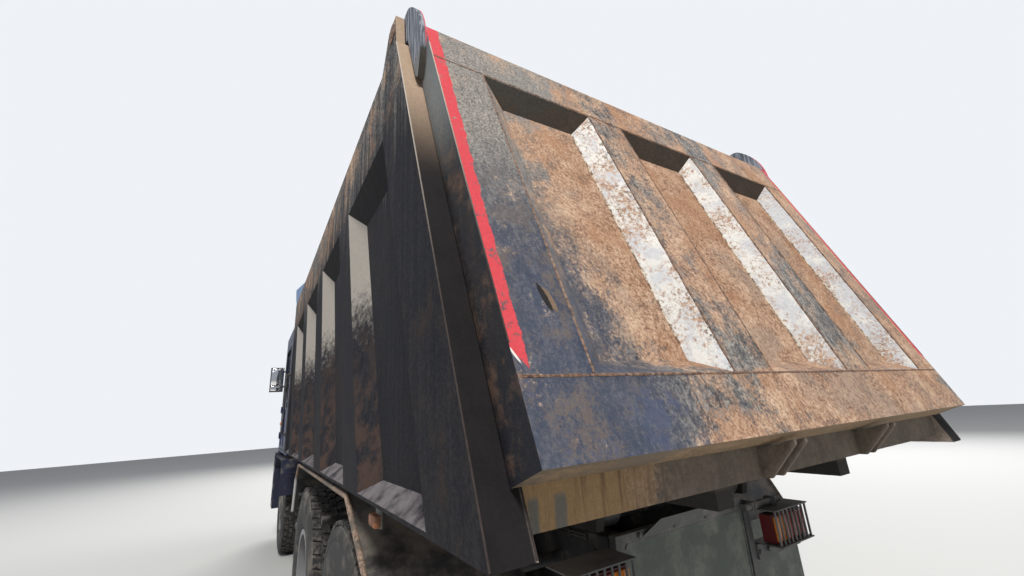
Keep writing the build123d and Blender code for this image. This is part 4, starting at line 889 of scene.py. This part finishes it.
# Cab shell: navy painted pressed steel, spot-welded, with a black visor and dust in its corners.
# The doors hang on it by outside hinges.
cab_front, screen_foot, screen_slope = 7.34, 1.95, 0.16 / 0.95
cab_paint = dusty("cab_navy", (0.016, 0.026, 0.085), -0.1, 0.25, 16.0)
dress(cab_paint, "cab_floor", "cab_back_wall", "cab_roof", "cab_front_panel", "cab_side_left", "cab_side_right",
      "door_left", "door_right", "front_bumper")
black_trim = nodes["mirrors"].material_slots[0].material


def screen_x(z):
    """The outer face of the cab's front at a height: upright, then leaning back from the screen's foot."""
    return cab_front - screen_slope * max(0.0, z - screen_foot)


def frame_round(shape, corners, radius):
    """A rubber or bar bent round an opening, with its corners rounded off."""
    for start, end in zip(corners, corners[1:] + corners[:1]):
        bar(shape, start, end, radius, 10)
        ball(shape, start, radius, 10)


# Window rubbers, wipers and grille: black moulded rubber and plastic, clipped into the pressed openings.
# Three wipers lie parked along the foot of the windscreen.
rubbers = bmesh.new()
frame_round(rubbers, [Vector((screen_x(z) - 0.003, y, z)) for y, z in (
    (-1.08, 1.992), (1.08, 1.992), (1.08, 2.778), (-1.08, 2.778))], 0.009)
frame_round(rubbers, [Vector((5.62 + 0.002, y, z)) for y, z in (
    (-0.4, 2.08), (0.4, 2.08), (0.4, 2.56), (-0.4, 2.56))], 0.009)
for foot_y in (0.82, 0.16, -0.5):
    pivot = Vector((screen_x(1.965) + 0.006, foot_y, 1.965))
    bar(rubbers, pivot - Vector((0.01, 0, 0)), pivot + Vector((0.012, 0, 0)), 0.016, 16)
    elbow = Vector((screen_x(2.055) + 0.002, foot_y - 0.33, 2.055))
    bar(rubbers, pivot, elbow, 0.007, 8, 0.005)
    for share in (-0.29, -0.15, 0.0, 0.15):
        near = Vector((screen_x(2.04) - 0.007, elbow.y + share, 2.04 - share * 0.07))
        far = Vector((screen_x(2.04) - 0.007, elbow.y + share + 0.15, 2.04 - (share + 0.15) * 0.07))
        bar(rubbers, near, far, 0.0055, 8)
    bar(rubbers, elbow, Vector((screen_x(2.04) - 0.005, elbow.y, 2.04)), 0.006, 8)
for n in range(5):
    low = 1.19 + n * 0.09
    slab(rubbers, (7.3152, -0.638, low + 0.002), (7.3192, 0.638, low + 0.058), 0.001)
    for k in range(16):
        y = -0.6 + k * 0.08
        slab(rubbers, (7.318, y - 0.003, low + 0.001), (7.332, y + 0.003, low + 0.059), 0)
    slab(rubbers, (7.318, -0.638, low + 0.024), (7.335, 0.638, low + 0.036), 0.003)
slab(rubbers, (7.33, -0.63, 1.712), (7.3335, 0.63, 1.848), 0.002)
for low in (0.83, 0.92):
    for k in range(12):
        y = -0.52 + k * 0.0945
        slab(rubbers, (7.38, y - 0.004, low + 0.001), (7.403, y + 0.004, low + 0.054), 0)
keep(rubbers, "cab_rubbers_and_grille", black_trim)
for hand, side in (("left", 1), ("right", -1)):
    seal = bmesh.new()
    face = side * 1.1895
    frame_round(seal, [Vector((x, face, z)) for x, z in (
        (6.222, 1.912), (7.038, 1.912), (6.983, 2.688), (6.222, 2.688))], 0.008)
    near, far = sorted((side * 1.189, side * 1.1965))
    slab(seal, (6.16, near, 1.872), (7.1, far, 1.888), 0.003)
    slab(seal, (6.18, near, 1.806), (6.38, far - side * 0.001, 1.878), 0.002)
    bar(seal, (6.415, face, 1.842), (6.415, face + side * 0.006, 1.842), 0.013, 16)
    keep(seal, f"door_trim_{hand}", black_trim, f"door_{hand}")


# Lamps, mirrors and plate: clear and amber lenses in bright bezels, silvered glass, a bare number plate.
# Each is clipped or screwed to the bumper, the cab or the mirror arms.
clear = filmed("lens_clear", (0.72, 0.75, 0.78), (0.36, 0.32, 0.27), 0.6, (16, 0.46, 0.75), (0.09, 0.45),
               metal=0.25, flutes=(16.0, 0.0012), Coat_Weight=0.6)
chrome = filmed("bezel_chrome", (0.75, 0.76, 0.77), (0.3, 0.27, 0.22), 0.7, (20, 0.45, 0.75), (0.12, 0.5), 1, 0.8)
lamp_wells = dusty("headlamp_wells", (0.06, 0.062, 0.066), -0.14, 0.3, 20.0, 0.6)
dress(lamp_wells, "headlamps")
lamps, bezels, ambers = bmesh.new(), bmesh.new(), bmesh.new()
for side in (-1, 1):
    for y, z, radius in ((0.842, 0.71, 0.07), (0.99, 0.71, 0.07), (0.62, 0.71, 0.048)):
        face = 7.395 if y > 0.7 else 7.407
        bar(bezels, (face, side * y, z), (face + 0.009, side * y, z), radius, 32, radius * 0.94)
        bar(lamps, (face + 0.008, side * y, z), (face + 0.012, side * y, z), radius * 0.88, 32, radius * 0.75)
        bar(lamps, (face + 0.012, side * y, z), (face + 0.016, side * y, z), radius * 0.75, 32, radius * 0.35)
    slab(ambers, (7.394, side * 1.064, 0.625), (7.406, side * 1.088, 0.795), 0.004)
    slab(ambers, (7.175, side * 1.19, 1.58), (7.26, side * 1.204, 1.625), 0.005)
for y in (-0.95, -0.3, 0, 0.3, 0.95):
    slab(ambers, (7.06, y - 0.05, 2.958), (7.12, y + 0.05, 2.985), 0.008)
keep(bezels, "lamp_bezels", chrome)
keep(lamps, "lamp_lenses", clear)
keep(ambers, "amber_markers", lens_amber)
silvered = filmed("mirror_glass", (0.82, 0.84, 0.86), (0.4, 0.37, 0.33), 0.5, (14, 0.48, 0.8), (0.04, 0.4), 1, 0.6)
glasses = bmesh.new()
for side in (-1, 1):
    for low, high in ((2.2, 2.465), (2.115, 2.185)):
        slab(glasses, (7.136, side * 1.222, low), (7.1405, side * 1.388, high), 0.0015)
keep(glasses, "mirror_glass", silvered)
plate_white = filmed("bare_plate", (0.62, 0.62, 0.6), (0.28, 0.25, 0.21), 0.6, (12, 0.42, 0.7), (0.45, 0.3))
plate = bmesh.new()
slab(plate, (7.406, -0.26, 0.455), (7.411, 0.26, 0.567), 0.002)
for y in (-0.2, 0.2):
    bar(plate, (7.411, y, 0.511), (7.414, y, 0.511), 0.008, 10)
keep(plate, "number_plate", plate_white)


# Steps, handles and roof: bright tread plates with raised studs, bent tube handles and a roof hatch.
# The steps are screwed into the step housings, the handles into the cab's rear pillars.
tread_metal = dusty("tread_metal", (0.4, 0.41, 0.42), 0.04, 0.35, 47.0, 0.85)
treads = bmesh.new()
for side in (-1, 1):
    for low in (0.5, 0.74, 0.98):
        slab(treads, (6.924, side * 1.066, low), (7.153, side * 1.234, low + 0.006), 0.002)
        for k in range(8):
            for y in (1.09, 1.13, 1.17, 1.21):
                x = 6.945 + k * 0.0265
                bar(treads, (x, side * y, low + 0.005), (x, side * y, low + 0.0095), 0.007, 8, 0.004)
keep(treads, "step_treads", tread_metal)
handles = bmesh.new()
for side in (-1, 1):
    outer, inner = side * 1.232, side * 1.188
    x = 6.06
    bar(handles, (x, outer, 1.45), (x, outer, 2.25), 0.012, 16)
    for z in (1.45, 2.25):
        bar(handles, (x, inner, z), (x, outer, z), 0.012, 16)
        bar(handles, (x, inner, z), (x, inner + side * 0.008, z), 0.026, 20)
        ball(handles, (x, outer, z), 0.012, 16)
slab(handles, (6.35, -0.3, 2.95), (6.85, 0.3, 2.985), 0.012)
slab(handles, (6.33, -0.32, 2.95), (6.87, 0.32, 2.968), 0.006)
bar(handles, (6.95, 1.05, 2.95), (6.95, 1.05, 2.99), 0.016, 16, 0.01)
bar(handles, (6.95, 1.05, 2.985), (6.82, 1.06, 3.4), 0.0035, 8, 0.002)
keep(handles, "cab_handles_and_hatch", black_trim)


# Dashboard: one grey plastic moulding with a hood over the dials, a centre panel and air vents.
# It is screwed to the cab's front, and the steering wheel is moulded of the same plastic.
trim = dusty("trim_grey", (0.05, 0.05, 0.055), -0.1, 0.6, 17.0, 0.0, (0.12, 0.11, 0.1))
dress(trim, "dashboard", "steering_wheel")
hood = bmesh.new()
slab(hood, (6.975, 0.42, 1.885), (7.12, 0.86, 1.99), 0.02)
slab(hood, (6.935, -0.2, 1.62), (6.96, 0.25, 1.74), 0.008)
for y in (-0.95, -0.35, 0.32, 0.98):
    slab(hood, (6.99, y - 0.07, 1.845), (7.02, y + 0.07, 1.905), 0.006)
keep(hood, "instrument_hood", trim)
dials = bmesh.new()
for y, radius in ((0.55, 0.042), (0.73, 0.042), (0.64, 0.022)):
    bar(dials, (6.978, y, 1.937), (6.972, y, 1.937), radius, 28)
keep(dials, "dials", clear)


# Seats: foam cushions sewn into dark ribbed cloth, crowned in the middle, on steel bases bolted to the floor.
# Each cushion is swollen a little by cloth pressure here, once, and rests on its base.
cloth, place = finish("seat_cloth")
weave = place.node("ShaderNodeTexChecker", {}, {
    "Vector": place, "Scale": 260.0, "Color1": (1, 1, 1, 1), "Color2": (0.5, 0.5, 0.5, 1)}, 1)
worn = place.mottle(9, 5, 0.6)
coat(cloth, Base_Color=worn.rising(0.4, 0.7).between((0.022, 0.026, 0.04), (0.07, 0.075, 0.09)), Roughness=0.92,
     height=weave * 0.0004 + worn * 0.001)


def cushion(name, low, high, lean_back, channels):
    """A foam cushion: a block divided finely, its edges drawn in, its middle crowned and its channels sewn."""
    shape = bmesh.new()
    bmesh.ops.create_cube(shape, size=2)
    bmesh.ops.subdivide_edges(shape, edges=shape.edges, cuts=11, use_grid_fill=True)
    thin = min(range(3), key=lambda axis: high[axis] - low[axis])
    length = 0 if thin == 2 else 2
    middle = (Vector(low) + Vector(high)) / 2
    half = (Vector(high) - Vector(low)) / 2
    for vert in shape.verts:
        place = vert.co.copy()
        wide = [axis for axis in range(3) if axis != thin]
        crown = (1 - place[wide[0]] ** 4) * (1 - place[wide[1]] ** 4)
        sewn = max(0.0, math.cos(place[length] * math.pi * channels)) ** 8
        groove = 0.14 * sewn if abs(place[thin]) > 0.99 else 0.0
        place[thin] *= 0.62 + 0.38 * crown - groove
        for axis in wide:
            place[axis] *= 1 - 0.05 * abs(vert.co[thin]) ** 3
        moved = Vector(tuple(middle[axis] + place[axis] * half[axis] for axis in range(3)))
        moved.x -= lean_back * (moved.z - low[2])
        vert.co = moved
    made = keep(shape, name, cloth, angle=60)
    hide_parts("seats")
    stuffing = made.modifiers.new("stuffing", "CLOTH")
    stuffing.settings.use_pressure = True
    stuffing.settings.uniform_pressure_force = 4
    stuffing.settings.effector_weights.gravity = 0
    return made


seat_x = 6.18
cushions = []
for hand, side in (("left", 1), ("right", -1)):
    y = side * 0.64
    cushions += [
        cushion(f"seat_cushion_{hand}", (seat_x + 0.01, y - 0.22, 1.7), (seat_x + 0.46, y + 0.22, 1.815), 0.0, 3),
        cushion(f"seat_back_{hand}", (seat_x + 0.01, y - 0.21, 1.81), (seat_x + 0.1, y + 0.21, 2.295), 0.13, 4),
        cushion(f"head_rest_{hand}", (seat_x + 0.02, y - 0.125, 2.335), (seat_x + 0.09, y + 0.125, 2.47), 0.13, 1),
    ]
for step in range(1, 21):
    scene.frame_set(step)
for pad in cushions:
    swollen = pad.evaluated_get(bpy.context.evaluated_depsgraph_get()).data.vertices
    swell = [soft.co - vert.co for soft, vert in zip(swollen, pad.data.vertices)]
    pad.modifiers.clear()
    underside = min(vert.co.z for vert in pad.data.vertices)
    share = min(1.0, 0.012 / max(move.length for move in swell))
    for vert, move in zip(pad.data.vertices, swell):
        vert.co += move * share
        vert.co.z = max(vert.co.z, underside)
scene.frame_set(1)
bases = bmesh.new()
for side in (-1, 1):
    y = side * 0.64
    slab(bases, (seat_x + 0.06, y - 0.15, 1.29), (seat_x + 0.4, y + 0.15, 1.34), 0.006)
    for z in (1.36, 1.43, 1.5, 1.57):
        slab(bases, (seat_x + 0.09, y - 0.12, z - 0.03), (seat_x + 0.37, y + 0.12, z + 0.03), 0.022)
    slab(bases, (seat_x + 0.05, y - 0.17, 1.6), (seat_x + 0.41, y + 0.17, 1.702), 0.01)
    for edge in (-0.06, 0.06):
        bar(bases, (seat_x - 0.02, y + edge, 2.26), (seat_x - 0.035, y + edge, 2.36), 0.007, 10)
base_piece = keep(bases, "seat_bases", black_trim)
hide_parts("seats")


# Panes: tinted safety glass held in the window rubbers and in the doors' frames.
# Clouds of dust lie on them and make them a little less clear.
pane_material, place = finish("tinted_pane")
film = place.mottle(5, 5, 0.65).rising(0.4, 0.8)
coat(pane_material, Base_Color=(film * 0.5).between((0.03, 0.042, 0.045), (0.13, 0.125, 0.115)),
     Roughness=0.04 + film * 0.3, Alpha=film * 0.12 + 0.55)
dress(pane_material, "cab_glass", "door_glass_left", "door_glass_right")
